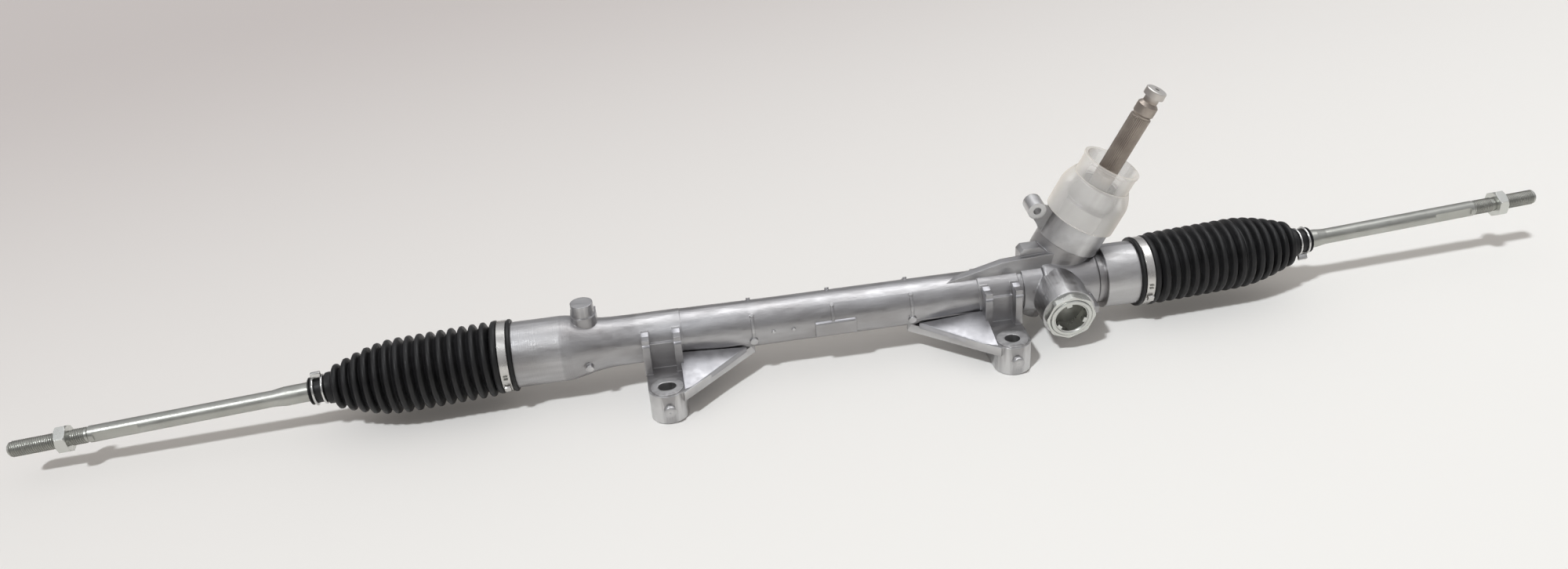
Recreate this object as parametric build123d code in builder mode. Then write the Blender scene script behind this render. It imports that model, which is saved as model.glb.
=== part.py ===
from build123d import *
from math import acos, asin, atan, cos, degrees, pi, radians, sin, sqrt, tan
import os

os.makedirs("parts", exist_ok=True)

# The part is a manual steering rack. Lengths are millimetres, angles degrees.
# The origin is the round bolt hole, where its axis meets the ear's seat.
# X runs along the rack towards the pinion side, Z is up along the bolts,
# and Y points away from the ears.

# The rack's axis, from the seat of the round bolt hole
rack_height = 39.0
rack_setback = 50.0

# Mounting ears
bolt_spacing = 263.0
bolt_hole_d = 11.5
slot_width = 10.8
slot_length = 13.5
ear_height = 23.0
ear_r = 14.0
ear_pad_r = 12.3
ear_pad_rise = 1.0
ear_rib_spacing = 23.6
ear_rib_width = 5.6
ear_rib_reach = 29.5
ear_rib_top = 13.5
ear_web_reach = 21.0
ear_web_rise = 6.0
saddle_rise = 1.0
ear_stub_d = 8.0
ear_stub_rise = 3.0
gusset_length = 57.0
gusset_top_drop = 1.5
gusset_thickness = 4.0
gusset_root_depth = 5.5
gusset_rim_width = 3.0
gusset_rim_rise = 1.6

# Housing tube and its two turned ends
lip_to_lip = 485.8
right_lip = 112.2
boot_seat_length = 14.0
boot_seat_r = 24.0
end_r = 25.0
left_end_length = 35.0
neck_length = 40.0
neck_r = 19.2
tube_r = 18.0
tube_taper_length = 120.0
tube_bore_r = 14.0
right_end_length = 26.7
groove_width = 5.0
groove_r = 20.8
body_r = 22.5
body_left_reach = 12.0
collar_r = 20.0
collar_length = 16.0
shoulder_round = 3.0

# Rack travel and the ball joints at its ends
rack_r = 12.0
rack_stroke = 130.0
rack_offset = -6.5
ball_spacing = 553.0
socket_depth = 14.0
socket_r = 17.3
stop_bore_r = 18.3
stop_clearance = 0.3
flare_r = 21.8
flare_length = 25.0

# Rack and pinion teeth
normal_module = 1.9
pinion_teeth = 7
pressure_angle = 20.0
shaft_lean = 25.5
yoke_dip = 8.0
rack_addendum = 1.03
pinion_tip_r = 9.7
tip_clearance = 0.3
flank_clearance = 0.08
rack_flat = 8.4
pinion_face = 30.0
flank_steps = 5

# Pinion shaft, stations along its axis from the rack's centre plane
pinion_x = 47.5
shaft_r = 8.0
lower_journal_r = 5.0
lower_journal_end = -29.0
bush_r = 8.0
bush_length = 11.0
bearing_seat = 28.0
bearing_width = 12.0
bearing_bore_r = 8.5
bearing_outer_r = 20.0
bearing_ball_r = 3.2
bearing_balls = 9
cage_width = 8.0
cage_thickness = 2.0
ring_wall = 3.1
circlip_width = 1.3
retainer_width = 1.6
shaft_end = 169.7
head_length = 6.0
waist_r = 5.6
waist_length = 4.5
bulb_length = 11.0
spline_teeth = 36
spline_depth = 0.45
spline_length = 52.0
fit_gap = 0.05
running_gap = 0.05

# Pinion tower and its plastic cap
tower_r = 26.0
tower_base = 34.0
tower_top = 70.0
tower_neck_r = 19.5
tower_neck_top = 86.0
casing_r = 23.5
casing_low = 18.0
lower_casing_r = 16.0
lower_casing_end = -24.0
foot_boss_r = 13.5
foot_boss_end = -36.0
pinion_bore_r = 10.6
tower_bore_r = 14.0
seal_r = 15.0
seal_length = 8.0
end_cap_r = 10.5
end_cap_thickness = 4.0
lug_offset = 40.0
lug_station = 52.0
lug_r = 7.2
lug_hole_d = 6.0
lug_length = 14.0
lug_arm_thickness = 7.0
lug_web_reach = 5.0
cap_low = 55.0
cap_r = 28.0
cap_wall = 1.7
cap_shoulder_low = 75.0
cap_shoulder_high = 89.0
cap_shoulder_r = 23.2
cap_neck_r = 22.0
cap_top = 105.0
cap_rim = 0.8

# Stiffening web from the tube up to the tower
web_front = 8.0
web_thickness = 7.0
web_start = -40.0
web_knee_x = 5.0
web_knee_height = 27.5
web_end_height = 30.0
web_block_left = 20.0
web_block_right = 44.0
web_block_height = 34.5
web_block_front = 4.0
web_block_back = 8.0

# Yoke that presses the rack against the pinion
yoke_boss_r = 20.5
yoke_boss_end = 41.0
yoke_rib_start = 14.0
yoke_rib_end = 39.5
yoke_rib_rise = 4.2
yoke_rib_width = 6.0
yoke_rib_drop = 1.5
yoke_bore_r = 16.5
yoke_back = 27.0
yoke_front = 3.0
yoke_liner = 0.8
o_ring_wire = 1.9
o_ring_at = 21.0
spring_pocket_r = 9.6
spring_pocket_floor = 17.0
spring_wire = 2.4
spring_turns = 3.5
plug_floor = 31.0
plug_floor_thickness = 2.5
plug_socket_flats = 24.0
plug_proud = 0.8
lock_nut_thickness = 6.0
lock_nut_flats = 36.5
lock_nut_corner_r = 19.3

# Bush at the far end of the tube
rack_bush_length = 20.0
rack_bush_r = 15.6
clip_wire = 1.2

# Inner ball joints
ball_r = 10.5
race_wall = 1.5
race_mouth = 0.45
socket_mouth = 12.0
socket_swing = 25.0
stud_r = 7.0
stud_length = 8.0
washer_thickness = 1.0
washer_r = 13.4
socket_flat_width = 31.0

# Tie rods
rod_length = 327.5
rod_r = 6.25
rod_neck_r = 5.5
rod_swell_r = 7.3
rod_swell_start = 100.0
rod_swell_end = 139.0
rod_neck_length = 20.0
rod_cone_length = 12.0
rod_swell_slope = 8.0
flats_from_tip = 92.5
flats_length = 32.0
flats_across = 10.5
thread_length = 56.0
thread_r = 5.5
thread_in_nut_r = 5.3
tip_chamfer = 1.5
jam_nut_flats = 19.0
jam_nut_thickness = 8.0
left_nut_from_tip = 38.9
right_nut_from_tip = 33.2
left_rod_drop = 2.5
left_rod_forward = 2.4
right_rod_rise = 1.9
right_rod_back = 2.7

# Rubber bellows and their clamps
bellows_ridge_r = 28.5
bellows_valley_r = 24.9
bellows_inner_r = 22.6
bellows_ridges = 15
bellows_taper_ridges = 6
bellows_small_ridge_r = 19.0
cuff_wall = 2.3
cuff_slope = 2.6
soft_gap = 0.3
left_clip_station = 107.7
right_clip_station = 120.4
small_cuff_length = 17.0
small_cuff_proud = 4.5
band_width = 6.6
band_thickness = 1.2
band_inset = 3.5
band_ear_width = 5.0
band_ear_rise = 3.2
band_ear_angle = 115.0
clip_width = 6.0
clip_tab = 7.0
left_clip_angle = 0.0
right_clip_angle = 150.0

# Details cast on the tube
peg_x = -318.6
peg_r = 8.5
peg_top = 37.0
peg_pad_width = 19.0
peg_pad_round = 8.5
peg_pad_top = 27.5
ring_rib_spacing = 61.8
ring_rib_right = -69.5
ring_rib_count = 3
ring_rib_width = 2.2
ring_rib_rise = 1.2
ring_rib_low = -20.0
ring_rib_high = 47.0
ring_rib_back_low = 112.0
ring_rib_back_high = 200.0
ring_rib_knob_r = 1.6
ejector_pad_r = 3.2
ejector_pad_rise = 0.8
ejector_pad_height = -5.5
dimple_r = 1.4
dimple_rise = 1.1
parting_angle = -28.0
parting_width = 1.4
parting_rise = 0.5
front_pad_x = -129.3
front_pad_length = 32.0
front_pad_top = 3.2
front_pad_low = -9.0
front_pad_rise = 1.3


class Lathe:
    """A turning axis: outlines are (station, radius) pairs, revolved about it."""

    def __init__(self, origin, direction, radial):
        self.origin = Vector(*origin)
        self.direction = Vector(*direction)
        self.radial = Vector(*radial)
        self.axis = Axis(self.origin, self.direction)
        square = self.direction.cross(self.radial)
        self.side = Plane(self.origin, x_dir=self.direction, z_dir=square)

    def across(self, station):
        """The plane square to the axis at a station."""
        spot = self.origin + self.direction * station
        return Plane(spot, x_dir=self.radial, z_dir=self.direction)

    def turn(self, *points, mode=Mode.ADD):
        """Revolve a straight-sided outline in the part that is being built."""
        with BuildSketch(self.side) as outline:
            with BuildLine():
                Polyline(*points, close=True)
            make_face()
        revolve(outline.sketch, axis=self.axis, mode=mode)

    def rod(self, start, end, radius, mode=Mode.ADD):
        """A plain cylinder between two stations."""
        with BuildSketch(self.across(start)) as disc:
            Circle(radius)
        extrude(disc.sketch, amount=end - start, mode=mode)

    def ball(self, radius, mode=Mode.ADD):
        """A sphere about the origin, with its poles on the axis."""
        with BuildSketch(self.side) as half:
            Circle(radius)
            Rectangle(2 * radius, radius, align=(Align.CENTER, Align.MIN), mode=Mode.INTERSECT)
        revolve(half.sketch, axis=self.axis, mode=mode)


def swing(ball_x, side, rise, back):
    """The turning axis of a tie rod that is swung about its ball."""
    up, away = radians(rise), radians(back)
    direction = Vector(side * cos(up) * cos(away), cos(up) * sin(away), sin(up))
    radial = (Vector(0, 0, 1) - direction * direction.Z).normalized()
    return Lathe((ball_x, rack_setback, rack_height), direction, radial)


def aim(start, goal):
    """The turning axis from one point towards another."""
    direction = (goal - start).normalized()
    radial = (Vector(0, 0, 1) - direction * direction.Z).normalized()
    return Lathe(start, direction, radial)


# Frames that the pieces are turned and cut in
lean, dip = radians(shaft_lean), radians(yoke_dip)
along_x = Vector(1, 0, 0)
towards_yoke = Vector(0, -cos(dip), -sin(dip))
along_teeth = Vector(0, -sin(dip), cos(dip))
along_pinion = along_x * sin(lean) + along_teeth * cos(lean)

left_lip = right_lip - lip_to_lip
middle_x = (left_lip + right_lip) / 2
left_face = left_lip - boot_seat_length
right_face = right_lip + boot_seat_length
left_ball_x = middle_x + rack_offset - ball_spacing / 2
right_ball_x = middle_x + rack_offset + ball_spacing / 2
left_stop = left_ball_x - rack_offset + socket_depth + rack_stroke / 2 + stop_clearance
right_stop = right_ball_x - rack_offset - socket_depth - rack_stroke / 2 - stop_clearance
bar_left = left_ball_x + socket_depth + washer_thickness
bar_right = right_ball_x - socket_depth - washer_thickness
slot_x = -bolt_spacing

# Gear geometry, with the rack's teeth square to its axis
pitch = pi * normal_module
pitch_r = normal_module * pinion_teeth / 2 / cos(lean)
pitch_height = rack_flat - rack_addendum
pinion_offset = pitch_height + pitch_r
pinion_root_r = pitch_r - rack_addendum - tip_clearance
rack_root = pinion_offset - pinion_tip_r - tip_clearance
slope = tan(radians(pressure_angle))
transverse = atan(slope / cos(lean))
base_r = pitch_r * cos(transverse)
space_width = pitch / 2 + 2 * (normal_module - rack_addendum) * slope

rack_line = Lathe((0, rack_setback, rack_height), (1, 0, 0), (0, 0, 1))
crossing = Vector(pinion_x, rack_setback, rack_height)
pinion_line = Lathe(crossing - towards_yoke * pinion_offset, along_pinion, towards_yoke)
yoke_line = Lathe(crossing, towards_yoke, along_x)
lug_plane = Plane(pinion_line.across(lug_station).origin,
                  x_dir=towards_yoke.cross(along_pinion), z_dir=towards_yoke)
left_line = swing(left_ball_x, -1, -left_rod_drop, -left_rod_forward)
right_line = swing(right_ball_x, 1, right_rod_rise, right_rod_back)


def add_ear(bolt_x, gusset_side):
    """One mounting ear: foot, pad, two ribs up to the tube, web, stub and gusset."""
    with BuildSketch(Plane.XY) as foot:
        with Locations((bolt_x, 0)):
            Circle(ear_r)
        with Locations((bolt_x, rack_setback / 2 - 2)):
            Rectangle(2 * ear_r, rack_setback - 4)
    extrude(foot.sketch, amount=ear_height)
    with BuildSketch(Plane.XY.offset(ear_height)) as pad:
        with Locations((bolt_x, 0)):
            Circle(ear_pad_r)
    extrude(pad.sketch, amount=ear_pad_rise)
    rib_front = rack_setback - ear_rib_reach
    web_front_y = rack_setback - ear_web_reach
    with BuildSketch(Plane.XY.offset(ear_height - 1)) as ribs:
        with Locations((bolt_x - ear_rib_spacing / 2, rib_front),
                       (bolt_x + ear_rib_spacing / 2, rib_front)):
            Rectangle(ear_rib_width, ear_rib_reach - 5, align=(Align.CENTER, Align.MIN))
    extrude(ribs.sketch, amount=rack_height + ear_rib_top - ear_height + 1)
    with BuildSketch(Plane.XY.offset(ear_height - 1)) as web:
        with Locations((bolt_x, web_front_y)):
            Rectangle(ear_rib_spacing, ear_web_reach - 5, align=(Align.CENTER, Align.MIN))
    extrude(web.sketch, amount=rack_height - ear_height + ear_web_rise)
    rack_line.rod(bolt_x - ear_r - 2, bolt_x + ear_r + 2, tube_r + saddle_rise)
    with BuildSketch(Plane((bolt_x, -ear_r + 2, ear_height / 2), x_dir=(1, 0, 0), z_dir=(0, -1, 0))) as stub:
        Circle(ear_stub_d / 2)
    extrude(stub.sketch, amount=ear_stub_rise + 2)
    low = ear_height - gusset_top_drop - gusset_thickness
    inner, outer = ear_r - 2, ear_r + gusset_length
    corner = (bolt_x + gusset_side * inner, -ear_r + 3)
    tip = (bolt_x + gusset_side * outer, rack_setback - gusset_root_depth)
    heel = (bolt_x + gusset_side * inner, rack_setback - 4)
    with BuildSketch(Plane.XY.offset(low)) as plate:
        Polygon(corner, tip, (tip[0], rack_setback - 4), heel)
    extrude(plate.sketch, amount=gusset_thickness)
    run = Vector(tip[0] - corner[0], tip[1] - corner[1]).normalized()
    inward = Vector(-run.Y, run.X) * gusset_rim_width * gusset_side
    with BuildSketch(Plane.XY.offset(low - gusset_rim_rise)) as rim:
        Polygon(corner, tip, (tip[0] + inward.X, tip[1] + inward.Y),
                (corner[0] + inward.X, corner[1] + inward.Y))
    extrude(rim.sketch, amount=gusset_thickness + 2 * gusset_rim_rise)


def outward(angle):
    """The direction square to the rack at an angle upwards from the front."""
    return Vector(0, -cos(radians(angle)), sin(radians(angle)))


def add_arc_rib(x, low, high):
    """A low rib round the tube between two angles."""
    with BuildSketch(Plane((x, rack_setback, rack_height), x_dir=outward(0), z_dir=(-1, 0, 0))) as arc:
        Circle(tube_r + ring_rib_rise)
        spread = [(low + (high - low) * share / 3) for share in range(4)]
        Polygon((0, 0), *[(2 * tube_r * cos(radians(a)), 2 * tube_r * sin(radians(a))) for a in spread],
                mode=Mode.INTERSECT)
    extrude(arc.sketch, amount=ring_rib_width / 2, both=True)


def add_knob(x, angle, seat_r, knob_r, rise):
    """A small round pad that stands square to the tube."""
    foot = Vector(x, rack_setback, rack_height) + outward(angle) * (seat_r - 3)
    with BuildSketch(Plane(foot, x_dir=(1, 0, 0), z_dir=outward(angle))) as knob:
        Circle(knob_r)
    extrude(knob.sketch, amount=3 + rise)


def add_parting(start, end):
    """A fine straight rail along the tube where the mould's halves met."""
    foot = Vector(start, rack_setback, rack_height) + outward(parting_angle) * (tube_r - 3)
    with BuildSketch(Plane(foot, x_dir=outward(parting_angle), z_dir=(1, 0, 0))) as rail:
        Rectangle(3 + parting_rise, parting_width, align=(Align.MIN, Align.CENTER))
    extrude(rail.sketch, amount=end - start)


# Cast housing: tube, turned ends, body, yoke boss and pinion tower
neck_start = left_lip + left_end_length
neck_end = neck_start + neck_length
taper_end = neck_end + tube_taper_length
body_left = pinion_x - body_left_reach
body_right = right_lip - right_end_length - groove_width
with BuildPart() as rack_housing:
    with BuildSketch(rack_line.side) as tube:
        with BuildLine():
            Polyline((neck_start, end_r), (left_lip, end_r), (left_lip, boot_seat_r),
                     (left_face, boot_seat_r), (left_face, 0), (body_left, 0),
                     (body_left, tube_r), (taper_end, tube_r), (neck_end, neck_r))
            Bezier((neck_end, neck_r), (neck_end - 0.45 * neck_length, neck_r + 0.3),
                   (neck_start + 0.35 * neck_length, end_r), (neck_start, end_r))
        make_face()
    revolve(tube.sketch, axis=rack_line.axis)
    rack_line.rod(body_left - collar_length, body_left + 1, collar_r)
    with BuildSketch(rack_line.side) as body:
        Polygon((body_left, 0), (body_left, body_r), (body_right, body_r), (body_right, 0))
        fillet(body.vertices().sort_by(Axis.X)[-1:] + body.vertices().group_by(Axis.Z)[-1], shoulder_round)
    revolve(body.sketch, axis=rack_line.axis)
    rack_line.rod(body_right - 1, right_lip, groove_r)
    rack_line.turn((body_right + groove_width, 0), (body_right + groove_width, end_r), (right_lip, end_r),
                   (right_lip, boot_seat_r), (right_face, boot_seat_r), (right_face, 0))
    yoke_line.rod(0, yoke_boss_end, yoke_boss_r)
    with BuildSketch(yoke_line.across(yoke_rib_start)) as yoke_rib:
        with Locations((0, -yoke_rib_drop)):
            Rectangle(yoke_boss_r + yoke_rib_rise, yoke_rib_width, align=(Align.MIN, Align.CENTER))
    extrude(yoke_rib.sketch, amount=yoke_rib_end - yoke_rib_start)
    pinion_line.turn((foot_boss_end, 0), (foot_boss_end, foot_boss_r), (lower_casing_end, foot_boss_r),
                     (lower_casing_end, lower_casing_r), (casing_low, lower_casing_r),
                     (casing_low, casing_r), (tower_base, casing_r), (tower_base, tower_r),
                     (tower_top, tower_r), (tower_top, tower_neck_r),
                     (tower_neck_top, tower_neck_r), (tower_neck_top, 0))
    add_ear(0, -1)
    add_ear(slot_x, 1)

    # Web from the tube up to the tower
    with BuildSketch(Plane((0, rack_setback - web_front, rack_height), x_dir=(1, 0, 0),
                           z_dir=(0, -1, 0))) as web:
        Polygon((web_start, 0), (web_start, sqrt(tube_r**2 - web_front**2)),
                (web_knee_x, web_knee_height), (pinion_x, web_end_height), (pinion_x, 0))
    extrude(web.sketch, amount=-web_thickness)
    with BuildSketch(Plane((0, rack_setback - web_block_front, rack_height), x_dir=(1, 0, 0),
                           z_dir=(0, -1, 0))) as web_block:
        Polygon((web_block_left, 0), (web_block_left, web_block_height - 3),
                (web_block_left + 3, web_block_height),
                (web_block_right - 8, web_block_height), (web_block_right, web_block_height - 6),
                (web_block_right, 0))
    extrude(web_block.sketch, amount=-web_block_front - web_block_back)

    # Side lug on the tower, its hole facing the yoke side, with a web down to the tower's foot
    with BuildSketch(lug_plane) as lug_arm:
        Polygon((tower_r - 4, -lug_r / 3), (lug_offset, -lug_r / 3), (lug_offset + lug_web_reach, lug_r / 2),
                (tower_r - 0.5, lug_station - tower_base - 1), (tower_r - 4, lug_station - tower_base - 1))
    extrude(lug_arm.sketch, amount=lug_arm_thickness / 2, both=True)
    with BuildSketch(lug_plane) as lug:
        with Locations((lug_offset, 0)):
            Circle(lug_r)
    extrude(lug.sketch, amount=lug_length / 2, both=True)

    # Raised details on the tube
    for index in range(ring_rib_count):
        rib_x = ring_rib_right - index * ring_rib_spacing
        add_arc_rib(rib_x, ring_rib_low, ring_rib_high)
        add_arc_rib(rib_x, ring_rib_back_low, ring_rib_back_high)
        add_knob(rib_x, ring_rib_high, tube_r, ring_rib_knob_r, ring_rib_rise + 0.5)
        add_knob(rib_x, ring_rib_back_low, tube_r, ring_rib_knob_r, ring_rib_rise + 0.5)
    pad_angle = degrees(asin(ejector_pad_height / tube_r))
    rib_left = ring_rib_right - (ring_rib_count - 1) * ring_rib_spacing
    add_knob(ring_rib_right, pad_angle, tube_r + ring_rib_rise, ejector_pad_r, ejector_pad_rise)
    add_knob(rib_left, pad_angle, tube_r + ring_rib_rise, ejector_pad_r, ejector_pad_rise)
    add_knob(peg_x, pad_angle, end_r - ejector_pad_rise, ejector_pad_r, ejector_pad_rise)
    add_knob(rib_left + ring_rib_spacing / 4, 0, tube_r, dimple_r, dimple_rise)
    add_knob(rib_left + ring_rib_spacing / 2, 0, tube_r, dimple_r, dimple_rise)
    add_parting(slot_x + ear_r, rib_left)
    add_parting(ring_rib_right, -ear_r)
    add_parting(neck_end - 4, slot_x - ear_r)
    with BuildSketch(Plane((front_pad_x, rack_setback, rack_height), x_dir=outward(0),
                           z_dir=(-1, 0, 0))) as front_pad:
        Polygon((tube_r - 6, front_pad_top), (tube_r - 1.3, front_pad_top),
                (tube_r + front_pad_rise, front_pad_top - 2), (tube_r + front_pad_rise, front_pad_low),
                (tube_r - 6, front_pad_low - 3))
    extrude(front_pad.sketch, amount=front_pad_length / 2, both=True)
    with BuildSketch(Plane.XY.offset(rack_height + neck_r - 4)) as peg_pad:
        with Locations((peg_x, rack_setback)):
            Rectangle(peg_pad_width, peg_pad_width)
            fillet(peg_pad.vertices().group_by(Axis.Y)[0], peg_pad_round)
    extrude(peg_pad.sketch, amount=peg_pad_top - neck_r + 4)
    with BuildSketch(Plane.XY.offset(rack_height + neck_r - 4)) as peg:
        with Locations((peg_x, rack_setback)):
            Circle(peg_r)
    extrude(peg.sketch, amount=peg_top - neck_r + 4)

    # Bores
    rack_line.rod(left_face - 1, right_face + 1, tube_bore_r, mode=Mode.SUBTRACT)
    rack_line.rod(left_face - 1, left_stop, stop_bore_r, mode=Mode.SUBTRACT)
    rack_line.rod(right_stop, right_face + 1, stop_bore_r, mode=Mode.SUBTRACT)
    rack_line.turn((left_face - 1, 0), (left_face - 1, flare_r), (left_face, flare_r),
                   (left_face + flare_length, stop_bore_r), (left_face + flare_length, 0), mode=Mode.SUBTRACT)
    rack_line.turn((right_face - flare_length, 0), (right_face - flare_length, stop_bore_r),
                   (right_face, flare_r), (right_face + 1, flare_r), (right_face + 1, 0), mode=Mode.SUBTRACT)
    bush_end = left_stop + 2 * clip_wire + rack_bush_length + 2 * fit_gap
    rack_line.rod(left_stop, bush_end, rack_bush_r, mode=Mode.SUBTRACT)
    rack_line.rod(left_stop + clip_wire, left_stop + 2 * clip_wire + fit_gap, rack_bush_r + 1,
                  mode=Mode.SUBTRACT)
    yoke_line.rod(0, yoke_boss_end + 1, yoke_bore_r, mode=Mode.SUBTRACT)
    bearing_top = bearing_seat + bearing_width
    seal_low = tower_neck_top - seal_length - 1
    pinion_line.turn((foot_boss_end - 1, 0), (foot_boss_end - 1, end_cap_r),
                     (foot_boss_end + end_cap_thickness, end_cap_r),
                     (foot_boss_end + end_cap_thickness, bush_r), (-pinion_face / 2 - 1, bush_r),
                     (-pinion_face / 2 - 1, pinion_bore_r), (bearing_seat - 4, pinion_bore_r),
                     (bearing_seat - 4, bearing_outer_r - 3), (bearing_seat, bearing_outer_r - 3),
                     (bearing_seat, bearing_outer_r), (bearing_top + retainer_width + 0.2, bearing_outer_r),
                     (bearing_top + retainer_width + 0.2, tower_bore_r), (seal_low, tower_bore_r),
                     (seal_low, seal_r), (tower_neck_top + 1, seal_r), (tower_neck_top + 1, 0),
                     mode=Mode.SUBTRACT)
    pinion_line.rod(bearing_top + fit_gap, bearing_top + retainer_width + fit_gap, bearing_outer_r + 1.2,
                    mode=Mode.SUBTRACT)
    with BuildSketch(Plane.XY.offset(-1)) as bolt_holes:
        Circle(bolt_hole_d / 2)
        with Locations((slot_x, 0)):
            SlotOverall(slot_length, slot_width)
    extrude(bolt_holes.sketch, amount=ear_height + 3, mode=Mode.SUBTRACT)
    with BuildSketch(lug_plane) as lug_hole:
        with Locations((lug_offset, 0)):
            Circle(lug_hole_d / 2)
    extrude(lug_hole.sketch, amount=lug_length, both=True, mode=Mode.SUBTRACT)
rack_housing.part.label = "rack_housing"
export_step(rack_housing.part, "parts/rack_housing.step")

# Rack bar, round with a toothed flat on the pinion's side
teeth_plane = Plane(crossing, x_dir=(1, 0, 0), z_dir=along_teeth)
reach = (sqrt(pinion_tip_r**2 - (pitch_r - rack_addendum)**2) / cos(lean)
         + sqrt(rack_r**2 - rack_flat**2) * tan(lean) + stop_clearance)
flat_left = rack_offset - rack_stroke / 2 - reach
flat_right = rack_offset + rack_stroke / 2 + reach
tip_half = space_width / 2 + rack_addendum * slope
root_half = space_width / 2 - (pitch_height - rack_root) * slope
first_space = -int((-flat_left - tip_half) / pitch)
last_space = int((flat_right - tip_half) / pitch)
with BuildPart() as rack_bar:
    rack_line.turn((bar_left, 0), (bar_left, rack_r - 1), (bar_left + 1, rack_r), (bar_right - 1, rack_r),
                   (bar_right, rack_r - 1), (bar_right, 0))
    with BuildSketch(teeth_plane) as spaces:
        with Locations([(index * pitch, 0) for index in range(first_space, last_space + 1)]):
            Polygon((-root_half, rack_root), (root_half, rack_root), (tip_half, rack_flat),
                    (-tip_half, rack_flat))
        with Locations((flat_left, rack_flat)):
            Rectangle(flat_right - flat_left, rack_r, align=(Align.MIN, Align.MIN))
    extrude(spaces.sketch, amount=rack_r + 1, both=True, mode=Mode.SUBTRACT)
    rack_line.rod(bar_left - 1, bar_left + stud_length + 1, stud_r + fit_gap, mode=Mode.SUBTRACT)
    rack_line.rod(bar_right - stud_length - 1, bar_right + 1, stud_r + fit_gap, mode=Mode.SUBTRACT)
rack_bar.part.label = "rack_bar"
export_step(rack_bar.part, "parts/rack_bar.step")

# Bush and its wire clip at the far end of the tube
clip_at = left_stop + clip_wire + fit_gap / 2
bush_at = left_stop + 2 * clip_wire + fit_gap
with BuildPart() as rack_bush:
    rack_line.turn((bush_at, rack_r + running_gap), (bush_at, rack_bush_r - fit_gap),
                   (bush_at + rack_bush_length, rack_bush_r - fit_gap),
                   (bush_at + rack_bush_length, rack_r + running_gap))
rack_bush.part.label = "rack_bush"
export_step(rack_bush.part, "parts/rack_bush.step")

with BuildPart() as rack_bush_clip:
    rack_line.turn((clip_at, rack_r + 1.5), (clip_at, rack_bush_r + 0.8),
                   (clip_at + clip_wire, rack_bush_r + 0.8), (clip_at + clip_wire, rack_r + 1.5))
rack_bush_clip.part.label = "rack_bush_clip"
export_step(rack_bush_clip.part, "parts/rack_bush_clip.step")

# Yoke with its liner, O-ring, spring, adjusting plug and lock nut
yoke_r = yoke_bore_r - running_gap
with BuildPart() as rack_yoke:
    yoke_line.turn((yoke_front, 0), (yoke_front, yoke_r), (o_ring_at - o_ring_wire, yoke_r),
                   (o_ring_at - o_ring_wire, yoke_r - o_ring_wire),
                   (o_ring_at + o_ring_wire, yoke_r - o_ring_wire),
                   (o_ring_at + o_ring_wire, yoke_r), (yoke_back, yoke_r), (yoke_back, spring_pocket_r),
                   (spring_pocket_floor, spring_pocket_r), (spring_pocket_floor, 0))
    rack_line.rod(pinion_x - yoke_bore_r - 1, pinion_x + yoke_bore_r + 1,
                  rack_r + yoke_liner + 2 * running_gap, mode=Mode.SUBTRACT)
rack_yoke.part.label = "rack_yoke"
export_step(rack_yoke.part, "parts/rack_yoke.step")

with BuildPart() as yoke_liner_pad:
    rack_line.rod(pinion_x - yoke_r + 2, pinion_x + yoke_r - 2, rack_r + yoke_liner + running_gap)
    rack_line.rod(pinion_x - yoke_r, pinion_x + yoke_r, rack_r + running_gap, mode=Mode.SUBTRACT)
    yoke_line.rod(yoke_front + 3, yoke_back, yoke_r - 1, mode=Mode.INTERSECT)
yoke_liner_pad.part.label = "yoke_liner_pad"
export_step(yoke_liner_pad.part, "parts/yoke_liner_pad.step")

with BuildPart() as yoke_o_ring:
    with BuildSketch(yoke_line.side) as wire:
        with Locations((o_ring_at, yoke_r - o_ring_wire / 2 + running_gap / 2)):
            Circle(o_ring_wire / 2 - running_gap / 2)
    revolve(wire.sketch, axis=yoke_line.axis)
yoke_o_ring.part.label = "yoke_o_ring"
export_step(yoke_o_ring.part, "parts/yoke_o_ring.step")

spring_low = spring_pocket_floor + spring_wire / 2 + running_gap
spring_high = plug_floor - spring_wire / 2 - running_gap
with BuildPart() as yoke_spring:
    with BuildLine() as coil:
        Helix(pitch=(spring_high - spring_low) / spring_turns, height=spring_high - spring_low,
              radius=spring_pocket_r - spring_wire / 2 - 0.4,
              center=yoke_line.across(spring_low).origin, direction=towards_yoke)
    with BuildSketch(Plane(coil.line @ 0, z_dir=coil.line % 0)) as wire:
        Circle(spring_wire / 2)
    sweep(wire.sketch, path=coil.line)
yoke_spring.part.label = "yoke_spring"
export_step(yoke_spring.part, "parts/yoke_spring.step")

plug_top = yoke_boss_end + lock_nut_thickness + plug_proud
with BuildPart() as yoke_plug:
    yoke_line.rod(plug_floor, plug_top, yoke_bore_r - fit_gap)
    with BuildSketch(yoke_line.across(plug_top)) as socket:
        RegularPolygon(plug_socket_flats / 2, 6, major_radius=False)
    extrude(socket.sketch, amount=plug_floor + plug_floor_thickness - plug_top, mode=Mode.SUBTRACT)
yoke_plug.part.label = "yoke_plug"
export_step(yoke_plug.part, "parts/yoke_plug.step")

with BuildPart() as yoke_lock_nut:
    with BuildSketch(yoke_line.across(yoke_boss_end)) as flats:
        RegularPolygon(lock_nut_flats / 2, 8, major_radius=False)
        Circle(lock_nut_corner_r, mode=Mode.INTERSECT)
        Circle(yoke_bore_r, mode=Mode.SUBTRACT)
    extrude(flats.sketch, amount=lock_nut_thickness)
yoke_lock_nut.part.label = "yoke_lock_nut"
export_step(yoke_lock_nut.part, "parts/yoke_lock_nut.step")


def involute_half_angle(radius):
    """Half of the pinion tooth's angle at a radius, in the plane square to the pinion."""
    thickness = (space_width - 2 * flank_clearance) / cos(lean)
    local = acos(min(1, base_r / radius))
    return thickness / 2 / pitch_r + tan(transverse) - transverse - tan(local) + local


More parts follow.
